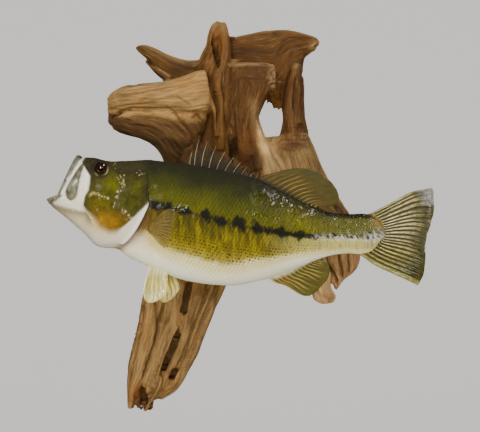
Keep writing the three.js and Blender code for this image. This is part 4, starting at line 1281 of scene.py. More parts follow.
def tail_colours(u, v, ridge):
    skin = blend(plain((62, 56, 16), u.shape), ((52, 51, 13), ease((v - 0.5) / 0.25) * 0.8))
    ray = blend(
        plain((180, 170, 112), u.shape), ((150, 140, 52), ease((u - 0.55) / 0.3) * 0.7),
        ((54, 52, 19), ease((v - 0.44 + 0.1 * flecks(u, v, 26, 2, 59)) / 0.32) * 0.92),
        ((226, 218, 180), bump(u, 0.42, 0.24) * bump(v, 0.26, 0.25) * 0.85),
    )
    colour = skin + (ray - skin) * np.clip(ridge * 1.1, 0, 1)[..., None]
    silver = ease((0.21 - u + 0.03 * flecks(u, v, 30, 9, 61)) / 0.06) * ease((v - 0.62) / 0.2)
    colour = blend(
        colour, ((146, 120, 56), 0.7 * ease((0.12 - v) / 0.1) * (u < 0.5)),
        ((150, 150, 150), silver * mix(0.45, 0.85, ridge)),
        ((72, 62, 14), bump(u, 0.275, 0.055) * ease((v - 0.72) / 0.1) * 0.9),
        ((150, 144, 80), ease((u - 0.94) / 0.04) * 0.7), ((150, 146, 92), ease((0.03 - u) / 0.03) * 0.6),
        ((128, 124, 92), ease((v - 0.98) / 0.02) * 0.7),
    )
    split = 0.35 * np.cos(2 * np.pi * u * 40) * ease((v - 0.25) / 0.35)
    dashes = noise(u * 58, v * 30, 0, 62) + 0.6 * noise(u * 110, v * 60, 0, 64) + split
    return colour * (1 + (0.3 * flecks(u, v, 70, 14, 60) + 0.45 * dashes) * mix(0.5, 1, ridge))[..., None]


def dorsal_colours(u, v, ridge):
    skin = blend(
        plain((70, 56, 1), u.shape), ((68, 60, 2), ease((v - 0.45) / 0.4)),
        ((58, 58, 18), bump(u, 0.30, 0.12) * bump(v, 0.88, 0.12) * 0.7),
    )
    ray = plain((142, 126, 50), u.shape)
    show = ridge * ease((0.66 - v + 0.1 * np.sin(u * 75)) / 0.3) * mix(0.35, 1, ease((u - 0.12) / 0.2))
    colour = skin + (ray - skin) * np.clip(show, 0, 1)[..., None]
    colour = blend(
        colour, ((50, 38, 8), 0.7 * ease((0.16 - v) / 0.14)),
        ((120, 108, 56), 0.6 * ease((v - 0.985) / 0.01)),
    )
    return colour * (1 + 0.22 * flecks(u, v, 40, 8, 63))[..., None]


def anal_colours(u, v, ridge):
    skin = blend(
        plain((73, 64, 5), u.shape), ((76, 71, 10), ease((v - 0.6) / 0.3)),
        ((120, 80, 20), bump(u, 0.82, 0.12) * bump(v, 0.3, 0.2) * 0.6),
    )
    ray = plain((166, 152, 72), u.shape)
    show = ridge * ease((0.80 - v + 0.1 * np.sin(u * 63)) / 0.35)
    colour = skin + (ray - skin) * np.clip(show * 1.1, 0, 1)[..., None]
    colour = blend(
        colour, ((218, 210, 176), ease((0.20 - v) / 0.18)), ((214, 204, 150), ease((u - 0.94) / 0.05) * 0.75),
        ((240, 236, 206), ease((u - 0.86) / 0.06) * ease((v - 0.94) / 0.04) * 0.9),
    )
    return colour * (1 + 0.25 * flecks(u, v, 40, 8, 66))[..., None]


def pectoral_colours(u, v, ridge):
    skin = blend(plain((160, 138, 76), u.shape), ((160, 144, 78), ease((v - 0.5) / 0.4)))
    ray = blend(plain((74, 54, 24), u.shape), ((58, 34, 14), 0.85 * ease((0.5 - v) / 0.3)))
    colour = skin + (ray - skin) * np.clip(ridge, 0, 1)[..., None]
    colour = blend(colour, ((104, 66, 34), 0.7 * ease((0.2 - v) / 0.2)))
    return colour * (1 + 0.12 * flecks(u, v, 50, 6, 69))[..., None]


def pelvic_colours(u, v, ridge):
    skin = blend(
        plain((176, 160, 38), u.shape), ((222, 212, 150), ease((0.3 - v) / 0.2)),
        ((206, 192, 96), ease((u - 0.7) / 0.2) * 0.6),
    )
    ray = plain((236, 228, 170), u.shape)
    colour = skin + (ray - skin) * np.clip(ridge * 0.9, 0, 1)[..., None]
    colour = blend(
        colour, ((244, 242, 208), ease((0.07 - u) / 0.05) * 0.8),
        ((144, 132, 24), bump(u, 0.2, 0.09) * bump(v, 0.55, 0.3) * 0.8),
    )
    return colour * (1 + 0.25 * flecks(u, v, 20, 8, 72))[..., None]


# %% Soft fins


def on_spine(x, z, u, v):
    return spine_y(x) + 0 * z


def tail_plane(x, z, u, v):
    return spine_y(x) + 2.2 * np.sin(7.5 * u + 0.6) * v**2


def flank(x, z):
    """How far the flank stands out from the middle plane."""
    low = z < through(WIDEST_Z, x)
    end = np.where(low, through(BELLY, x), through(BACK, x))
    height = np.clip((z - through(WIDEST_Z, x)) / (end - through(WIDEST_Z, x)), 0, 1)
    c = height ** (1 / 0.92)
    width = through(HALF_WIDTH, x) - FLESH_TUCK * ease((-80 - x) / 40)
    return np.sqrt(np.maximum(0, 1 - c * c)) ** 0.92 * width


def pectoral_plane(side, spread):
    def plane(x, z, u, v):
        start = flank(np.full(np.shape(x), -112.0), z * 0.6 - 6)
        return spine_y(x) + side * (mix(start, flank(np.array(-95.0), np.array(-15.0)), v) - 1.5 + spread * v)

    return plane


def pelvic_plane(side):
    return lambda x, z, u, v: spine_y(np.array(-106.0)) + side * (10 + 9 * v) + 0 * x


def turned_back(shape, cx, cz, angle, shift):
    """A fin swung backwards about its root, then moved along the fish."""
    def turn(x, z):
        dx, dz = x - cx, z - cz
        bite = angle * float(ease(np.array(-dz / 20)))
        c, s = math.cos(bite), math.sin(bite)
        return [cx + dx * c - dz * s + shift, cz + dx * s + dz * c]

    return {edge: [turn(x, z) for x, z in line] for edge, line in shape.items()}


def thin_skin(u, v, ridge):
    bone = np.maximum(ridge * 0.8, ease((0.3 - v) / 0.25))
    thick = 0.26 + 0.6 * bone * ease((1.3 - v) / 0.6) + 0.08 * noise(u * 20, v * 6, 0, 75)
    return thick - 0.14 * ease((v - 0.6) / 0.4)


fin(
    "tail_fin_rays", TAIL_FIN, tail_plane, [5, 1.1], 20, tail_colours, "tail_fin", skin_part=0.6, rows=84,
    ragged=0.03,
    seed=1, fork=0.08, slim=(0.15, 0.045),
)
fin(
    "soft_dorsal_rays", SOFT_DORSAL, on_spine, [3.0, 1.1], 13, dorsal_colours, "soft_dorsal_fin",
    skin_part=0.9, seed=2,
    slim=(0.10, 0.04), finish=SATIN_FINISH,
)
fin(
    "anal_rays", ANAL, on_spine, [3.2, 1.1], 13, anal_colours, "anal_fin", skin_part=0.85, rows=56, seed=3,
    fork=0.3,
    slim=(0.12, 0.045), finish=SATIN_FINISH,
)
for side, spread, word in ((-1, 11, "left"), (1, 5, "right")):
    fin(
        f"pectoral_rays_{word}", PECTORAL, pectoral_plane(side, spread), [2.4, 1], 15, pectoral_colours,
        f"pectoral_fin_{word}", skin_part=0.5, rows=48, per_ray=12, ragged=0.03, seed=4 + side,
        thin=thin_skin,
        fork=0.3, slim=(0.18, 0.06),
    )
    shape = PELVIC if side < 0 else turned_back(PELVIC, -106, -70, 0.2, 9)
    fin(
        f"pelvic_rays_{word}", shape, pelvic_plane(side), [3.4, 1.2], 6, pelvic_colours, f"pelvic_fin_{word}",
        rows=48, per_ray=16, ragged=0.03, seed=7 + side, fork=0.2, slim=(0.16, 0.06),
    )

# %% [markdown]
# The front dorsal fin has ten hard spines with dark, nearly clear skin hung between them. Every spine is a
# tapering rod along a line, which Geometry Nodes draw from a foot, a tip and a radius. The skin is a thin
# grid.

# %% Spiny dorsal fin
SPINES = [
    [[-66.5, 62], [-63.2, 84.2]], [[-60.5, 62], [-54, 100]], [[-51.3, 60], [-43.4, 97.4]],
    [[-42.1, 58], [-31.6, 92.1]], [[-32.9, 56], [-19.7, 84.2]], [[-22.4, 54], [-7.9, 77.6]],
    [[-11.8, 52], [1.3, 71.1]], [[-1.3, 49], [9.2, 64.5]], [[9.2, 46], [18.4, 57.9]], [[17, 45], [22.5, 52]],
]
NOTCH = 0.36


def rod_tree():
    """Turns lines with a radius at each point into round rods."""
    t = Tree("rods", Lines="Geometry", Sides="Int")
    lines, radius = t.add("GeometryNodeMeshToCurve", Mesh=t.given["Lines"]), t.named("thickness", "FLOAT")
    sized = t.add("GeometryNodeSetCurveRadius", Curve=lines, Radius=radius)
    circle = t.add("GeometryNodeCurvePrimitiveCircle", Resolution=t.given["Sides"], Radius=1.0)
    rods = t.add("GeometryNodeCurveToMesh", Curve=sized, Profile_Curve=circle, Fill_Caps=True)
    if "Scale" in rods.node.inputs:
        t.tree.links.new(radius, rods.node.inputs["Scale"])
    return t.closed(t.add("GeometryNodeRealizeInstances", rods))


def spine_line(k, steps=12):
    """One spine as a gently curved line, with its radius at each point."""
    foot, tip = np.array(SPINES[k][0], float), np.array(SPINES[k][1], float)
    t = np.linspace(0, 1, steps)
    flat = foot + (tip - foot) * t[:, None]
    bow = np.array([tip[1] - foot[1], foot[0] - tip[0]]) * -0.035
    flat = flat + bow * np.sin(math.pi * t)[:, None]
    return np.column_stack([flat[:, 0], spine_y(flat[:, 0]), flat[:, 1]]), mix(0.6, 0.18, t)


def spines():
    verts, edges, radii = [], [], []
    for k in range(len(SPINES)):
        line, radius = spine_line(k)
        edges += [(len(verts) + i, len(verts) + i + 1) for i in range(len(line) - 1)]
        verts += list(line * MM)
        radii += list(radius * MM)
    mesh = bpy.data.meshes.new("spine lines")
    mesh.from_pydata(verts, edges, [])
    made = bpy.data.objects.new("spine lines", mesh)
    bpy.context.scene.collection.objects.link(made)
    store(made, "thickness", radii, "FLOAT")
    made = run_tree(made, rod_tree(), "dorsal_spines", Sides=8, Finish=FIN_FINISH)
    place = read(made, "position", 3, "vector") / MM
    colour = blend(
        plain((172, 164, 136), [len(place)]),
        ((70, 60, 34), ease((62 - 0.28 * (place[:, 0] + 66) - place[:, 2]) / 8 + 0.6))
    )
    store(made, "paint", colour * (1 + 0.3 * noise(place[:, 0] / 2, 0, place[:, 2] / 3, 77))[:, None])
    part_of(made, "fish_fins")


def spine_skin(steps=30, between=12):
    """The clear skin hung from spine to spine, dipping between the tips."""
    front, back, shade = [], [], []
    lines = [spine_line(k, steps)[0] for k in range(len(SPINES))]
    for k in range(len(lines) - 1):
        for w in np.arange(between) / between:
            sag = NOTCH * 4 * w * (1 - w) * 0.55
            t = np.linspace(0, 1, steps) * (0.965 - sag * (1 + 0.35 * math.sin(9 * k + 14 * w)))
            a = np.stack([np.interp(t, np.linspace(0, 1, steps), lines[k][:, c]) for c in range(3)], -1)
            b = np.stack([np.interp(t, np.linspace(0, 1, steps), lines[k + 1][:, c]) for c in range(3)], -1)
            row = mix(a, b, w)
            row[:, 1] += 0.5 * math.sin(2 * math.pi * w) * t
            half = 0.26 - 0.12 * np.linspace(0, 1, steps)
            front.append(row - np.outer(half, [0, 1, 0]))
            back.append(row + np.outer(half, [0, 1, 0]))
            shade.append(np.stack([np.full(steps, k + w), t], -1))
    verts = np.array([front, back]).reshape(-1, 3) * MM
    made = new_object("dorsal_skin", verts, sheet_faces(len(front), steps))
    face_out(made)
    k, t = np.array(shade).reshape(-1, 2).T
    colour = plain((38, 33, 14), [len(k)]) * (1 + 0.5 * layered(k * 4, t * 8, 0, 78))[:, None]
    colour = blend(colour, ((96, 88, 60), ease((t - 0.86) / 0.1) * 0.5))
    store(made, "paint", np.concatenate([colour] * 2))
    alpha = np.clip(0.74 - 0.5 * t + 0.3 * layered(k * 3, t * 6, 0, 80), 0.12, 1)
    store(made, "alpha", np.concatenate([alpha] * 2), "FLOAT")
    made.data.materials.append(THIN_FINISH)
    part_of(made, "fish_fins", "spiny_dorsal_fin")


spines()
spine_skin()

# %% [markdown]
# ## Eyes and tongue
# A glass eye is painted from behind, so its colours lie deep under a very smooth dome. The pupil of a bass is
# slightly pointed towards the snout and has a thin gold ring; the iris is red-brown with gold flecks and dark
# at its rim.

# %% Eyes


def eye(side, word):
    rings, turns = 48, 64
    theta = np.linspace(0.02, math.pi - 0.02, rings)[:, None]
    around = (2 * np.pi * np.arange(turns) / turns)[None, :]
    r = np.sin(theta)
    x = EYE["x"] + EYE["radius"] * r * np.cos(around)
    z = EYE["z"] + EYE["radius"] * r * np.sin(around)
    y = spine_y(np.array(EYE["x"])) + side * (EYE["offset"] + EYE["depth"] * np.cos(theta)) + 0 * around
    made = tube_mesh(f"eyeball_{word}", np.stack([x, y, z], -1))
    flat = r + 0 * around
    pointed = 1 + 0.16 * np.maximum(0, -np.cos(around)) ** 3
    pupil = flat / (0.43 * pointed)
    mottle = layered(np.cos(around) * flat * 6, np.sin(around) * flat * 6, side * 3.0, 82)
    spokes = noise(np.cos(around) * 9, np.sin(around) * 9, flat * 1.5, 85)
    colour = plain((34, 14, 12), flat.shape)
    # A pale arc painted on the lower right of the rim: a painted highlight.
    rim = 0.04 + 0.9 * bump(np.cos(around + 0.45), 1, 0.22)
    colour = blend(
        colour, ((58, 26, 17), np.clip(0.1 + 0.5 * mottle + 0.3 * spokes, 0, 0.6)),
        ((34, 18, 14), ease((np.sin(around) * flat + 0.1) / 0.6) * 0.75),
        ((104, 70, 36), 0.5 * bump(pupil, 1.07, 0.05)), ((5, 4, 4), ease((1.03 - pupil) / 0.06)),
        ((16, 10, 8), ease((flat - 0.80) / 0.1)), ((188, 170, 128), bump(flat, 0.93, 0.035) * rim * 0.9),
    )
    colour = np.where((theta > 1.75)[..., None], srgb(24, 18, 12), colour)
    paint = np.clip(colour, 0.001, 0.9).reshape(-1, 3)
    store(made, "paint", np.vstack([paint, paint[0], paint[-1]]))
    made.data.materials.append(EYE_FINISH)
    part_of(made, "fish_eyes", f"eye_{word}")


g = Graph("glass eye")
EYE_FINISH = g.surface(
    Base_Color=g.attribute("paint"), Roughness=0.12, IOR=1.5, Coat_Weight=1.0, Coat_Roughness=0.015,
    Coat_IOR=1.6,
)
eye(-1, "left")
eye(1, "right")

# %% Tongue
TONGUE = [[-231, 12, 1.5, 1], [-226, 9.5, 7, 2.6], [-216, 2, 9, 3.6], [-203, -7, 9, 4], [-193, -13, 5, 2.5]]
station = curve(TONGUE, np.linspace(0, 1, 40))[:, None, :]
around = (2 * np.pi * np.arange(40) / 40)[None, :]
rough = 1 + 0.04 * layered(station[..., 0] / 2, around * 4, 0, 87)
tongue_rings = np.stack([
    station[..., 0] - 3 * np.cos(around),
    spine_y(station[..., 0]) - np.sin(around) * station[..., 2] * rough,
    station[..., 1] + np.cos(around) * station[..., 3] * rough * (1 - 0.25 * bump(np.sin(around), 0, 0.25)),
], -1)
tongue = tube_mesh("tongue_flesh", tongue_rings)
fade = np.linspace(1.05, 0.85, len(tongue.data.vertices))
tint = plain((206, 178, 152), fade.shape) * fade[:, None]
store(tongue, "paint", tint)
store(tongue, "gloss", np.full(len(tint), 0.6), "FLOAT")
tongue.data.materials.append(varnished("mouth lining", 0.35))
part_of(tongue, "mouth_lining", "tongue")

# %% [markdown]
# ## Driftwood
# The mount is a weathered root: several limbs grown into one another, worn smooth, with long grooves along
# the grain. Each limb is a loft between two edge lines. The limbs are joined by a voxel remesh, which also
# rounds the places where they meet, and then the surface is moved in and out along the grain of each limb.

# %% Limbs of the wood: edge [x, z], opposite edge [x, z], front y, back y, from root to tip
WOOD = dict(
    wood_core=[
        [[-58, 160], [6, 160], -34, -4], [[-72, 128], [10, 128], -42, 5], [[-92, 92], [26, 92], -52, 8],
        [[-98, 50], [40, 50], -61, 8], [[-98, 0], [44, 0], -62, 8], [[-96, -45], [20, -45], -60, 8],
        [[-88, -76], [-16, -76], -48, 6],
    ],
    wood_left_block=[
        [[-179.4, 160], [-178.6, 127], -62, -28], [[-168.3, 172.4], [-167, 115.4], -72, -18],
        [[-149.3, 179.2], [-143.9, 107.2], -78, -12], [[-119.5, 181.9], [-122.2, 99.1], -80, -8],
        [[-89.6, 186], [-108.6, 85.5], -80, -6], [[-54.3, 194.1], [-97.7, 62.4], -76, -4],
        [[-28, 172], [-78, 40], -60, -2],
    ],
    wood_spike=[
        [[-38, 69.3], [-5.4, 69.3], -62, -5], [[-36.7, 123.6], [-12.2, 123.6], -70, -15],
        [[-42.1, 171.2], [-13.6, 171.2], -72, -18], [[-51.6, 209.3], [-16.3, 209.3], -66, -16],
        [[-46.2, 232.3], [-14.9, 232.3], -56, -14], [[-42.1, 250], [-19, 251.4], -46, -14],
        [[-35.3, 262.2], [-21.1, 262.9], -38, -16], [[-29.2, 265.6], [-27.9, 265.6], -29, -25],
    ],
    wood_left_horn=[
        [[-40, 216], [-50, 180], -40, -6], [[-68.5, 212.2], [-89, 183.5], -39, -7],
        [[-93.1, 218.4], [-106.8, 198.5], -38, -9], [[-115, 229.4], [-123.2, 210.9], -37, -10],
        [[-130.1, 234.8], [-135.6, 220.5], -35, -12], [[-139.7, 233.5], [-142.4, 227.3], -30, -17],
        [[-143.4, 231], [-143.4, 229.6], -25, -22],
    ],
    wood_centre_block=[
        [[-3, 204.5], [33, 207], -80, -38], [[-13, 190.2], [44.5, 194.2], -88, -30],
        [[-16, 172.7], [40.5, 178.1], -86, -24], [[-16, 151.1], [25.6, 151.1], -80, -18],
        [[-14, 129.5], [21.6, 132.2], -74, -10], [[-5.4, 102.5], [24.3, 102.5], -66, -6],
        [[-5.4, 68.8], [37.8, 68.8], -60, -5],
    ],
    wood_wing=[
        [[-24.7, 241.7], [-19.2, 193.6], -30, -6], [[1.4, 249], [13.7, 179.9], -32, -5],
        [[35.7, 255], [51, 154], -32, -5], [[65.9, 256.1], [72.8, 203.2], -31, -6],
        [[89.3, 251], [89.3, 218.3], -29, -8], [[104.4, 245.8], [104.4, 229.3], -26, -11],
        [[109.9, 239.2], [109.9, 237.4], -19, -17],
    ],
    wood_right_limb=[
        [[62, 214], [90, 222], -32, -7], [[66.5, 197.4], [86.3, 202.9], -38, -6],
        [[60.3, 175.4], [87, 180.9], -42, -5], [[58.3, 152.1], [87.7, 156.2], -44, -5],
        [[58.9, 128.8], [89.8, 128.8], -46, -5], [[49.3, 96], [98, 96], -50, -5],
    ],
    wood_right_sweep=[
        [[34, 108], [94, 112], -46, -5], [[26, 92], [103.9, 92], -56, -4],
        [[24.6, 56], [117.5, 57.4], -58, -4], [[38.3, 21.9], [133.9, 27.3], -54, -4],
        [[68.3, -16.4], [150.3, 2.7], -48, -4], [[86, -42], [161.3, -27.3], -44, -4],
        [[92, -57], [164.5, -50], -40, -6],
    ],
    wood_tail_lobe=[
        [[100, -44], [164.5, -40], -40, -6], [[108, -66], [165.4, -57.4], -40, -6],
        [[123, -80.6], [159.9, -73.8], -36, -8], [[127.1, -92.9], [143.5, -87.5], -31, -12],
        [[129.8, -99.8], [133.9, -101.1], -24, -18],
    ],
    wood_low_lobe=[
        [[92, -46], [124, -44], -46, -10], [[92, -66], [125.7, -66], -48, -12],
        [[97, -87.5], [124.4, -84.7], -48, -12], [[97.7, -105.2], [125, -98.4], -46, -12],
        [[101.1, -114.8], [131.2, -109.3], -42, -16], [[110.7, -120.9], [127.1, -118.2], -34, -24],
    ],
    wood_leg=[
        [[-100, -30], [-16, -44], -46, -2], [[-122.8, -70.9], [-15, -76.4], -54, -3],
        [[-134.4, -115.9], [-29.3, -115.9], -58, -5], [[-139.1, -144.6], [-41.3, -144.6], -60, -7],
        [[-147.3, -176], [-53.2, -176.8], -60, -9], [[-153.3, -204.6], [-65.5, -204.6], -58, -11],
        [[-153.7, -226.4], [-79.1, -226.4], -54, -13], [[-152.4, -245.5], [-102.3, -246.2], -48, -16],
        [[-150, -256.4], [-120, -253.7], -40, -22], [[-136.4, -264.6], [-133.7, -264.6], -32, -28],
    ],
)
# Strands that stand proud of the limbs: the limb they grow from, then x, z, width, front y and back y along
# each.
STRANDS = dict(
    slab=("wood_left_block", [
        [-178, 153, 14, -64, -34], [-170, 155, 25, -74, -36], [-157, 157, 31, -79, -38],
        [-126, 159, 36, -82, -40], [-95, 160, 43, -84, -42], [-68, 164, 52, -86, -42],
        [-52, 168, 56, -87, -42], [-41, 170, 56, -84, -44],
    ]),
    rope_left=("wood_spike", [
        [-27, 264, 9, -40, -24], [-32, 256, 15, -52, -22], [-37, 242, 13, -60, -24], [-40, 229, 13, -64, -24],
        [-45, 217, 16, -63, -22], [-50, 205, 18, -58, -18], [-56, 196, 22, -50, -14],
    ]),
    rope_right=("wood_spike", [
        [-24, 264, 10, -42, -24], [-22, 249, 15, -56, -26], [-20, 234, 14, -64, -28],
        [-20, 219, 15, -69, -30], [-23, 204, 20, -72, -30], [-27, 188, 26, -74, -28],
        [-28, 169, 26, -73, -26], [-26, 153, 20, -72, -26], [-26, 133, 15, -71, -24],
        [-25, 113, 15, -67, -22], [-25, 88, 16, -62, -18],
    ]),
    rope_low=("wood_spike", [
        [-43, 174, 7, -62, -36], [-39, 158, 10, -74, -40], [-35, 145, 9, -77, -44], [-32, 128, 8, -76, -44],
        [-31, 106, 7, -70, -40],
    ]),
    web=("wood_core", [
        [-13, 212, 24, -50, -16], [-12, 192, 24, -72, -16], [-11, 150, 26, -68, -14], [-8, 112, 32, -58, -12],
        [-5, 75, 40, -52, -10],
    ]),
    cap=("wood_centre_block", [
        [-14, 186, 34, -78, -46], [-7, 187, 37, -85, -46], [5, 187, 39, -87, -46], [20, 187, 39, -87, -46],
        [33, 187, 38, -85, -44], [43, 187, 35, -82, -44], [47, 187, 33, -78, -46],
    ]),
    stem=("wood_centre_block", [
        [14, 196, 56, -86, -46], [13, 176, 58, -89, -44], [9, 156, 50, -86, -40], [5, 132, 42, -80, -36],
        [6, 104, 36, -72, -34], [12, 80, 33, -62, -32], [17, 60, 34, -54, -30],
    ]),
    knob=("wood_right_limb", [
        [79, 207, 10, -40, -20], [76, 198, 19, -48, -16], [75, 186, 22, -50, -14], [71, 170, 22, -50, -12],
        [70, 148, 22, -50, -10], [72, 122, 22, -50, -10], [74, 92, 24, -50, -10],
    ]),
    second_ridge=("wood_right_limb", [
        [82, 178, 5, -44, -22], [81, 170, 8, -50, -20], [81, 150, 8, -52, -18], [81, 125, 8, -50, -14],
    ]),
    smooth_ridge=("wood_right_sweep", [
        [18, 153, 8, -66, -30], [21, 135, 8, -68, -30], [25, 117, 11, -67, -26], [30, 100, 16, -65, -22],
        [36, 81, 21, -63, -18], [44, 58, 27, -60, -14], [56, 32, 30, -54, -12],
    ]),
    fringe_near=("wood_wing", [
        [37, 183, 10, -34, -14], [37, 167, 7, -33, -18], [38, 158, 4, -30, -20], [38, 152, 1, -26, -22],
    ]),
    fringe_middle=("wood_wing", [
        [45, 183, 10, -34, -12], [46, 166, 8, -33, -16], [47, 153, 5, -29, -18], [47, 147, 1, -25, -21],
    ]),
    fringe_far=("wood_wing", [
        [54, 183, 12, -35, -12], [53, 163, 8, -34, -14], [53, 150, 5, -30, -18], [53, 144, 1, -26, -22],
    ]),
    horn_lip=("wood_left_horn", [
        [-130, 212, 4, -30, -18], [-121, 204, 6, -38, -16], [-109, 195, 9, -41, -14],
        [-96, 186, 11, -41, -12],
    ]),
    leg_left=("wood_leg", [
        [-112, -94, 32, -50, -14], [-115, -115, 35, -54, -14], [-118, -134, 35, -56, -14],
        [-122, -156, 35, -57, -14], [-127, -175, 36, -58, -14], [-133, -195, 36, -58, -14],
        [-138, -213, 31, -56, -16], [-143, -226, 23, -53, -18], [-147, -240, 14, -49, -20],
        [-149, -262, 9, -42, -24],
    ]),
    leg_middle=("wood_leg", [
        [-88, -94, 17, -50, -24], [-90, -115, 17, -54, -24], [-90, -131, 19, -57, -24],
        [-92, -148, 22, -59, -24], [-97, -164, 22, -60, -24], [-104, -182, 20, -60, -24],
        [-111, -198, 20, -59, -24], [-118, -214, 20, -57, -24], [-125, -230, 16, -53, -24],
    ]),
    leg_prong=("wood_leg", [
        [-84, -148, 6, -57, -34], [-92, -166, 7, -62, -34], [-101, -187, 8, -63, -34],
        [-107, -206, 9, -63, -34], [-110, -224, 11, -61, -32], [-119, -243, 11, -56, -30],
        [-130, -264, 8, -48, -28],
    ]),
    leg_centre=("wood_leg", [
        [-54, -87, 24, -50, -26], [-58, -106, 23, -56, -26], [-63, -124, 22, -59, -26],
        [-69, -142, 19, -61, -26], [-75, -160, 16, -61, -26], [-81, -178, 14, -60, -28],
        [-88, -194, 13, -58, -28], [-97, -212, 13, -54, -30], [-106, -232, 14, -50, -30],
    ]),
    leg_right=("wood_leg", [
        [-28, -87, 25, -47, -10], [-36, -108, 23, -51, -10], [-45, -127, 25, -53, -10],
        [-53, -146, 25, -54, -10], [-61, -166, 24, -54, -12], [-68, -185, 23, -53, -12],
        [-75, -202, 18, -52, -14], [-82, -221, 14, -51, -16], [-93, -235, 16, -49, -20],
        [-111, -247, 13, -45, -24],
    ]),
)
# How far in mm the front of a limb lies behind its strands.
RECESS = dict(
    wood_leg=10, wood_spike=7, wood_left_block=9, wood_centre_block=4, wood_right_sweep=4, wood_right_limb=4,
)
# Colour of each limb, colour of its strands, and the spacing and depth in mm of its grooves.
# Most limbs that lie recessed behind strands are painted darker than the strands: painted shade in the gaps
# and under the slab.
WOOD_TONE = dict(
    wood_core=((100, 66, 31), (112, 75, 35), 6, 1.3), wood_left_block=((98, 71, 39), (166, 131, 78), 6, 1.8),
    wood_spike=((92, 60, 28), (118, 80, 38), 4.5, 1.6), wood_left_horn=((84, 58, 24), (100, 70, 32), 5, 1.3),
    wood_centre_block=((82, 53, 20), (80, 51, 19), 6, 1.2), wood_wing=((94, 60, 22), (100, 64, 26), 5, 1.2),
    wood_right_limb=((90, 58, 28), (97, 64, 31), 4.5, 1.3),
    wood_right_sweep=((166, 131, 80), (200, 164, 110), 6, 1.0),
    wood_tail_lobe=((188, 146, 98), (188, 146, 98), 6, 1.7),
    wood_low_lobe=((208, 168, 114), (208, 168, 114), 7, 0.9),
    wood_leg=((102, 76, 44), (156, 123, 74), 7, 1.6),
)


def strand_stations(points):
    """Turns a strand's middle line and widths into slices like those of a limb."""
    points = np.array(points, float)
    way = np.gradient(points[:, :2], axis=0)
    across = np.column_stack([-way[:, 1], way[:, 0]]) / np.linalg.norm(way, axis=1)[:, None]
    edge = across * points[:, 2:3] / 2
    left, right = points[:, :2] + edge, points[:, :2] - edge
    return [[list(a), list(b), y0, y1] for a, b, (y0, y1) in zip(left, right, points[:, 3:])]


def limb_stations(limb):
    """A limb's slices with its front set back behind its strands."""
    return [[a, b, front + RECESS.get(limb, 0), back] for a, b, front, back in WOOD[limb]]


def limb_lines(stations, count):
    t = np.linspace(0, 1, count)
    a, b = (curve([s[k] for s in stations], t) for k in (0, 1))
    depth = curve([[s[2], s[3]] for s in stations], t)
    return t, a, b, depth


def limb_rings(stations, seed, rings=56, sides=44):
    """Rounded slices, as in the solid limbs but finer."""
    t, a, b, depth = limb_lines(stations, rings)
    across, centre = a - b, (a + b) / 2
    half = np.linalg.norm(across, axis=1, keepdims=True) / 2
    across = across / (2 * half)
    angle = 2 * np.pi * np.arange(sides) / sides
    c, s = np.cos(angle), np.sin(angle)
    ridge = 1 - 0.045 * (1 + np.sin(5 * angle + seed + 2.2 * t[:, None])) * np.abs(s)
    side = np.sign(c) * np.abs(c) ** 0.85 * half
    bulge = np.sign(s) * np.abs(s) ** 0.8 * (depth[:, 1:] - depth[:, :1]) / 2 * ridge
    y = depth.mean(1, keepdims=True) - bulge
    x = centre[:, :1] + across[:, :1] * side
    z = centre[:, 1:] + across[:, 1:] * side
    return np.stack([x, y, z], -1)


def joined_wood(name, limbs, voxel, extra=()):
    """One closed mesh from several overlapping limbs."""
    verts, faces = [], []
    parts = [limb_rings(limb_stations(limb), list(WOOD).index(limb)) for limb in limbs] + list(extra)
    for seed, (limb, points) in enumerate(STRANDS.values()):
        if limb in limbs:
            parts.append(limb_rings(strand_stations(points), seed + 20, 44, 26))
    for rings in parts:
        tube = tube_mesh("limb", rings)
        start = len(verts)
        verts += [v.co.copy() for v in tube.data.vertices]
        faces += [[start + k for k in face.vertices] for face in tube.data.polygons]
        bpy.data.objects.remove(tube)
    made = new_object(name, verts, faces)
    remesh = made.modifiers.new("join", "REMESH")
    remesh.mode, remesh.voxel_size = "VOXEL", voxel
    smooth = made.modifiers.new("wear", "SMOOTH")
    smooth.iterations, smooth.factor = 3, 0.5
    return evaluated(made, name)


def twig(a, b, radius):
    """A short broken stub between two points."""
    t = np.linspace(0, 1, 10)[:, None, None]
    angle = (2 * np.pi * np.arange(14) / 14)[None, :]
    a, b = np.array(a, float), np.array(b, float)
    line = a + (b - a) * t
    r = radius * (1 - 0.35 * t[..., 0]) * (1 + 0.12 * np.sin(3 * angle))
    x, y, z = np.moveaxis(line, -1, 0)
    return np.stack([x + 0.2 * r * np.cos(angle), y + r * np.cos(angle), z + r * np.sin(angle)], -1)


# %% [markdown]
# Grain needs coordinates that follow each limb: how far along it, how far across, how deep. Where limbs meet,
# the coordinates of the nearer one win. Noise stretched along the grain makes the fibres, and named cracks
# are cut where this root has them.

# %% Grain of the wood


def limb_place(p, stations, count=110):
    """Along, across and depth of points in one limb, and their distance from its surface, in mm."""
    _, a, b, depth = limb_lines(stations, count)
    centre, across = (a + b) / 2, a - b
    half = np.linalg.norm(across, axis=1) / 2
    across = across / (2 * half[:, None])
    along = np.concatenate([[0], np.cumsum(np.linalg.norm(np.diff(centre, axis=0), axis=1))])
    rel = p[:, None, :][:, :, [0, 2]] - centre[None]
    off = rel[..., 0] * across[:, 1] - rel[..., 1] * across[:, 0]
    near = (off**2 + 0.04 * (rel**2).sum(-1)).argmin(1)
    side = (rel[np.arange(len(p)), near] * across[near]).sum(-1)
    half_here = np.maximum(half[near], 3)
    deep = np.maximum((depth[near, 1] - depth[near, 0]) / 2, 3)
    dep = p[:, 1] - depth[near].mean(1)
    out = (np.abs(side / half_here) ** 2.2 + np.abs(dep / deep) ** 2.4) ** 0.45
    beyond = np.abs(off[np.arange(len(p)), near])
    dist = np.abs(out - 1) * np.minimum(half_here, deep) + beyond
    mean = half.mean()
    return along[near], side / half_here * mean, dep / deep * min(mean, 24), dist, dep / deep


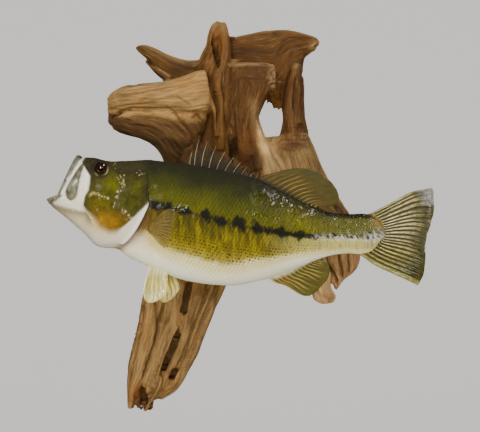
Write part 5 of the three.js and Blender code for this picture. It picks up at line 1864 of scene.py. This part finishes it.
def grain_of(p, limbs):
    """Blended grain coordinates (across, depth, along), tone, groove spacing and depth for each point."""
    total, grain = np.zeros(len(p)), np.zeros((len(p), 3))
    tone, spacing, depth, sunk = np.zeros((len(p), 3)), np.zeros(len(p)), np.zeros(len(p)), np.zeros(len(p))
    best = np.full(len(p), 1e9)
    lines = [(limb, WOOD[limb], 0) for limb in limbs]
    lines += [(limb, strand_stations(points), 1) for limb, points in STRANDS.values() if limb in limbs]
    for k, (limb, stations, strand) in enumerate(lines):
        xz = np.array([s[j] for s in stations for j in (0, 1)], float)
        low, high = xz.min(0) - 14, xz.max(0) + 14
        near = ((p[:, [0, 2]] > low) & (p[:, [0, 2]] < high)).all(1)
        along, side, dep, dist, level = limb_place(p[near], stations)
        weight = np.exp(-dist / 2.2) + 1e-9
        *colours, gap, deep = WOOD_TONE[limb]
        total[near] += weight
        tone[near] += srgb(*colours[strand]) * weight[:, None]
        spacing[near] += gap * weight
        depth[near] += deep * weight
        mine = np.zeros(len(p), bool)
        mine[near] = dist < best[near]
        best[near] = np.minimum(best[near], dist)
        grain[mine] = np.column_stack([side, dep, along + 300 * k])[mine[near]]
        sunk[mine] = (level * 0 - 1 if strand or limb not in RECESS else level)[mine[near]]
    total = np.maximum(total, 1e-9)
    return grain, tone / total[:, None], spacing / total, np.maximum(depth / total, 0.3), sunk


# Cracks and hollows seen from the front: line of [x, z], half-width and depth in mm.
CRACKS = [
    ([[-69, -86], [-71, -100], [-75, -120], [-77, -134]], 4.0, 9),
    (
        [[-82.3, -151.5], [-88.9, -170.8], [-97.3, -191.1], [-105.8, -211.5], [-112, -226], [-126, -249]],
        3.2, 8,
    ),
    ([[-41, -84], [-49, -115], [-58, -138], [-68, -165], [-77, -188], [-85, -203.2]], 1.7, 2.4),
    ([[-100.9, -112], [-108.2, -146.7], [-115.3, -175.5], [-123.8, -199.6], [-132.1, -221.2]], 2.2, 4),
    ([[-128.5, -112], [-133.4, -146.7], [-139.4, -175.5], [-146.7, -211.5]], 1.8, 2.5),
    ([[-30, -88], [-44, -122], [-60, -160], [-76, -205]], 1.2, 1.6),
    ([[-95, -150], [-103, -185], [-116, -220]], 1.4, 2.2),
    ([[-86.5, -206], [-93.5, -222]], 3.0, 9),
    ([[-134, -232], [-131, -250], [-133, -262]], 4.5, 12),
    ([[-172.4, 137.4], [-144.5, 144.1], [-95.3, 142.8], [-84.8, 136.2], [-64.7, 114.8]], 1.7, 3.0),
    ([[-148.4, 134.8], [-108.6, 132.1], [-87.3, 124.2], [-68.6, 108]], 2.2, 2.6),
    ([[-150, 122], [-120, 119], [-98, 108], [-80, 88]], 2.0, 1.8),
    ([[-132.5, 157.4], [-108, 156], [-84.6, 160.1], [-62, 144.1]], 1.3, 1.8),
    ([[-160, 160], [-120, 168], [-70, 176]], 1.2, 1.2),
    ([[-178, 133], [-160, 138]], 2.2, 5),
    ([[-38, 247], [-35.4, 239.9], [-31.5, 217.3], [-30.1, 198.6]], 3.0, 7),
    ([[-38.1, 172], [-28.8, 142.8], [-31.5, 110]], 1.8, 2.6),
    ([[-24, 200], [-21, 160], [-19, 120]], 1.3, 1.6),
    ([[-15, 204.5], [-14, 174.4], [-12, 150]], 1.5, 3),
    ([[-12, 150], [-10, 125], [-9, 98.8], [-10, 74]], 3.6, 8),
    ([[-129.9, 217.3], [-108.6, 195.9]], 1.6, 3.4),
    ([[-124.5, 227], [-100, 213], [-75.4, 201.3]], 1.4, 1.4),
    ([[-8.5, 200.5], [30, 202]], 1.1, 1.0),
    ([[1, 183], [34, 182.6]], 1.0, 0.9),
    ([[0, 160], [-2, 128], [6, 96]], 1.5, 1.6),
    ([[14, 150], [12, 118], [20, 84]], 1.3, 1.4),
    ([[76, 190], [75.2, 174.4], [72.5, 140]], 2.2, 3.6),
    ([[86, 198], [84.5, 176], [84, 160]], 1.4, 3.0),
    ([[42.3, 90], [54.6, 64.6], [62, 52]], 1.2, 2.0),
    ([[66, 84], [72, 66], [82, 52]], 1.1, 1.5),
    ([[86, 88], [98, 62], [106, 44]], 1.1, 1.2),
    ([[118, -50], [125.8, -73.3], [133.5, -95]], 2.4, 6),
    ([[134, -48], [137, -66], [142, -86]], 2.2, 5),
    ([[147.5, -46], [150.4, -78]], 1.8, 4),
    ([[108, -52], [114, -70], [121, -84]], 1.6, 2.5),
    ([[103, 230], [107, 235]], 1.8, 5),
]
CHECKS = dict(x=(60, 96), z=(90, 130), pitch=5.2)  # short cracks across the grain of the right limb


def carve(p, normal, grain, spacing, depth):
    """How far each point moves along its normal in mm, and its painted shade in grooves and cracks (0 to 1).
    """
    side, dep, along = grain.T
    x, y, z = p.T
    long_wave = layered(side / 17, dep / 17, along / 85, 101, 2)
    wobble = 0.8 * noise(side / 12, dep / 12, along / 22, 103)
    lines = noise((side + wobble) / spacing, dep / spacing, along / 62, 104)
    fewer = ease(0.55 + 0.9 * noise(side / 22, dep / 22, along / 46, 105))
    groove = np.exp(-((lines / 0.13) ** 2)) * fewer
    lines2 = noise((side + wobble) / (0.45 * spacing), dep / (0.45 * spacing), along / 40, 106)
    fine = np.exp(-((lines2 / 0.18) ** 2))
    out = 1.3 * long_wave - depth * groove - 0.30 * depth * fine
    out += 0.32 * noise(side / 2.4, dep / 2.4, along / 26, 107)
    # Painted shade in the grooves, and below in the cracks, checks and rough pits.
    crevice_shade = np.clip(0.75 * groove + 0.32 * fine, 0, 1)
    front = ease((0.35 - normal[:, 1]) / 0.5)
    for line, half, cut in CRACKS:
        span = np.array(line)
        near = ((p[:, [0, 2]] > span.min(0) - 9) & (p[:, [0, 2]] < span.max(0) + 9)).all(1)
        q = p[near]
        shake = 0.9 * noise(q[:, 0] / 4, 0, q[:, 2] / 9, 108)
        away, where, _ = near_line(q[:, 0] + shake, q[:, 2], line)
        ends = ease(where / 0.12) * ease((1 - where) / 0.12) * 0.75 + 0.25
        wall = np.exp(-((away / (half * ends)) ** 4)) * front[near]
        out[near] -= cut * wall * ends
        out[near] += 0.5 * np.exp(-(((away - half * 1.8) / 1.2) ** 2)) * front[near] * ends
        crevice_shade[near] = np.maximum(crevice_shade[near], wall * min(1, 0.35 + cut / 7))
    across = ease((x - CHECKS["x"][0]) / 5) * ease((CHECKS["x"][1] - x) / 5)
    across *= ease((z - CHECKS["z"][0]) / 8) * ease((CHECKS["z"][1] - z) / 8) * front
    wave = np.cos(2 * np.pi * (z + 1.5 * noise(x / 8, 0, z / 6, 109)) / CHECKS["pitch"])
    check = ease((wave - 0.55) / 0.4) * across
    out -= 0.9 * check
    ragged = 1.8 * bump(x, 42, 9) * bump(z, 186, 18) + bump(x, 45, 15) * bump(z, 158, 13)
    ragged += bump(x, 102, 9) * bump(z, 231, 9)
    ragged += bump(x, -174, 9) * bump(z, 138, 22) + bump(x, -134, 16) * bump(z, -252, 14)
    rough = layered(x / 3.2, y / 3.2, z / 3.2, 110)
    out += ragged * 1.9 * rough
    return out, np.clip(np.maximum(crevice_shade, 0.8 * check) + 0.35 * ragged * (rough < -0.1), 0, 1)


def behind_fish(p):
    """Keeps the wood clear of the fish's hidden side and of the wall."""
    x, y, z = p.T
    covered = (z < through(BACK, x)) & (z > through(BELLY, x)) & (x > -205) & (x < FLESH_END_X)
    far = spine_y(x) + flank(x, z) + GILL_FLARE * ease((-95 - x) / 20) + 1.2
    return np.column_stack([x, np.minimum(np.where(covered, np.maximum(y, far), y), -0.15), z])


def wood_paint(p, normal, grain, tone, crevice_shade, sunk):
    side, dep, along = grain.T
    x, y, z = p.T
    faces_room = ease((-0.2 - normal[:, 1]) / 0.5)
    # Painted shade on limb surfaces recessed behind their strands.
    recess_shade = ease((sunk + 0.84) / 0.3) * faces_room
    fibres = noise(side / 1.9, dep / 1.9, along / 34, 112)
    fibres = fibres + 0.6 * noise(side / 4.5, dep / 4.5, along / 60, 113)
    stain = layered(x / 34, y / 34, z / 34, 114)
    colour = tone * (1 + 0.24 * fibres + 0.20 * stain)[:, None]
    red = np.clip(0.5 * layered(x / 26, 0, z / 30, 117), 0, 0.4)[:, None]
    colour = colour * (1 + red * (np.array([0.98, 0.76, 0.55]) - 1))
    colour = colour * (1 + np.clip(-0.8 * stain - 0.1, 0, 0.4))[:, None]
    colour = colour * (1 - 0.4 * recess_shade)[:, None]
    broken = bump(x, 47, 8) * bump(z, 186, 20) * ease((-60 - y) / 8)
    broken = np.maximum(broken, bump(x, 104, 8) * bump(z, 231, 9))
    # Upward faces are painted paler as painted light from above; the reddish brown below the centre block and
    # the dark in grooves and cracks are painted shade.
    colour = blend(
        colour, ((196, 156, 100), 0.45 * ease((normal[:, 2] - 0.35) / 0.5) * ease((z - 60) / 20)),
        ((196, 156, 106), 0.8 * broken),
        ((158, 88, 44), 0.8 * bump(x, -141, 9) * bump(z, -242, 12)),
        ((120, 74, 40), 0.5 * bump(x, 8, 12) * bump(z, 95, 34)), ((52, 30, 14), crevice_shade * 0.88),
    )
    return np.clip(colour, 0.002, 0.9)


# %% Wood finish


def wood_finish():
    """Dry wood: fibres along the grain in colour, roughness and relief."""
    g = Graph("driftwood")
    grain = g.attribute("grain", "Vector")
    times = dict(operation="MULTIPLY")
    fibre = g.speckle(g.node("ShaderNodeVectorMath", times, [grain, (1.0, 1.0, 0.035)]), 1.15, 4.0, 0.6)
    pores = g.speckle(g.node("ShaderNodeVectorMath", times, [grain, (1.0, 1.0, 0.12)]), 2.6)
    dust = g.speckle(g.place(), 60, 4.0)
    colour = g.mixed(g.attribute("paint"), (0.070, 0.036, 0.010, 1), fibre.between(0.50, 0.70, 0.0, 0.66))
    colour = g.mixed(colour, (0.50, 0.33, 0.12, 1), fibre.between(0.46, 0.28, 0.0, 0.34))
    colour = g.mixed(colour, (0.06, 0.032, 0.014, 1), pores.between(0.62, 0.74, 0.0, 0.45))
    colour = g.mixed(colour, (0.28, 0.18, 0.07, 1), dust.between(0.5, 0.8, 0.0, 0.16))
    height = fibre * 0.8 + pores * 0.5 + dust * 0.2
    return g.surface(
        Base_Color=colour, Roughness=dust.between(0.3, 0.8, 0.66, 0.85), IOR=1.4,
        Normal=g.bumped(height, 0.75, 0.0011)
    )


WOOD_FINISH = wood_finish()


def driftwood(name, limbs, voxel, extra=()):
    made = joined_wood(name, limbs, voxel, extra)
    count = len(made.data.vertices)
    p, normal = np.empty(count * 3), np.empty(count * 3)
    made.data.vertices.foreach_get("co", p)
    made.data.vertices.foreach_get("normal", normal)
    p, normal = p.reshape(-1, 3) / MM, normal.reshape(-1, 3)
    grain, tone, spacing, depth, sunk = grain_of(p, limbs)
    out, crevice_shade = carve(p, normal, grain, spacing, depth)
    paint = wood_paint(p, normal, grain, tone, crevice_shade, sunk)
    p = behind_fish(p + normal * (out - 0.2)[:, None])
    made.data.vertices.foreach_set("co", (p * MM).ravel())
    made.data.update()
    store(made, "paint", paint)
    store(made, "grain", grain, "FLOAT_VECTOR")
    made.data.materials.append(WOOD_FINISH)
    made.data.shade_smooth()
    part_of(made, "driftwood", *limbs)
    return made


stub = twig([-24, -30, 242.5], [-5.8, -30, 244.6], 3.0)
driftwood("driftwood_root", [limb for limb in WOOD if limb != "wood_leg"], 0.0018, [stub])
driftwood("driftwood_leg", ["wood_leg"], 0.0014)

# %% [markdown]
# ## Studio
# A pale sweep stands well behind and below the piece, so nothing but the piece itself throws a shadow on it.
# Broad soft lamps light every side and leave no mirror image in the varnish. A few small ones do, and they
# give the scales and the eye their points of light.

# %% Sweep, lamps and camera


def sweep():
    """A round floor that curves up into a wall on every side."""
    turn = np.linspace(0, np.pi / 2, 16)
    bend = [(4.4 + 1.2 * math.sin(a), -0.1 - 1.2 * math.cos(a)) for a in turn]
    profile = [(0.5, -1.3), (2.5, -1.3), *bend, (5.6, 5.0)]
    around = 2 * np.pi * np.arange(72) / 72
    verts = np.array([[[r * math.cos(a), r * math.sin(a), z] for a in around] for r, z in profile])
    faces = [face[::-1] for face in grid_faces(*verts.shape[:2])] + [list(range(72))]
    made = new_object("studio_sweep", verts, faces)
    g = Graph("pale paper")
    paper = (0.80, 0.79, 0.77, 1)
    finish = g.surface(Base_Color=paper, Roughness=0.8, Emission_Color=paper, Emission_Strength=0.72)
    made.data.materials.append(finish)
    made.data.shade_smooth()
    made.visible_glossy = made.visible_diffuse = False


def lamp(name, place, size, power, colour=(1.0, 0.97, 0.92), glossy=True):
    """Soft rectangular lamp; without gloss it lights a surface but isn't mirrored in the varnish."""
    data = bpy.data.lights.new(name, "AREA")
    data.shape, data.size, data.size_y = "RECTANGLE", *size
    data.energy, data.color = power, colour
    made = bpy.data.objects.new(name, data)
    made.location = place
    made.rotation_euler = (Vector((0, -0.1, 0)) - Vector(place)).to_track_quat("-Z", "Y").to_euler()
    made.visible_glossy = glossy
    bpy.context.scene.collection.objects.link(made)


sweep()
lamp("lamp_front", (-0.45, -2.05, 0.7), (0.18, 0.14), 15, (1.0, 0.96, 0.89))
lamp("lamp_left", (-1.6, -1.9, 1.1), (1.0, 0.7), 26, (1.0, 0.94, 0.84), glossy=False)
lamp("lamp_right", (1.7, -1.9, 0.4), (1.0, 1.0), 12, (1.0, 0.96, 0.92), glossy=False)
lamp("lamp_low", (-0.2, -2.0, -1.3), (1.2, 0.6), 78, (1.0, 0.94, 0.82), glossy=False)
lamp("lamp_crown", (-0.25, 0.35, 1.7), (0.1, 0.1), 0.6)
lamp("lamp_spark", (0.36, -1.95, 0.52), (0.16, 0.16), 4)
lamp("lamp_over", (1.0, -0.5, 1.7), (0.3, 0.3), 14)
lamp("lamp_ceiling", (0.0, 0.8, 4.2), (4.0, 4.0), 36, (1.0, 0.99, 0.97), glossy=False)
lamp("lamp_eye", (-1.4, -1.5, -0.9), (0.12, 0.12), 6)
for side, word in ((-1, "left"), (1, "right")):
    lamp(f"lamp_back_{word}", (1.6 * side, 1.5, 0.6), (0.9, 0.9), 30, glossy=False)
world = bpy.data.worlds.new("studio_air")
world.use_nodes = True
air = world.node_tree.nodes["Background"]
air.inputs["Color"].default_value = (0.86, 0.87, 0.9, 1)
air.inputs["Strength"].default_value = 0.16
world.cycles_visibility.glossy = False
bpy.context.scene.world = world

lens = bpy.data.cameras.new("camera")
lens.sensor_width, lens.lens = 36, 113.9
camera = bpy.data.objects.new("camera", lens)
camera.location, camera.rotation_euler = (0, -2.105, 0), (math.pi / 2, 0, 0)
bpy.context.scene.collection.objects.link(camera)
bpy.context.scene.camera = camera

# %% Close: the pattern scale goes
bpy.data.objects.remove(plate)
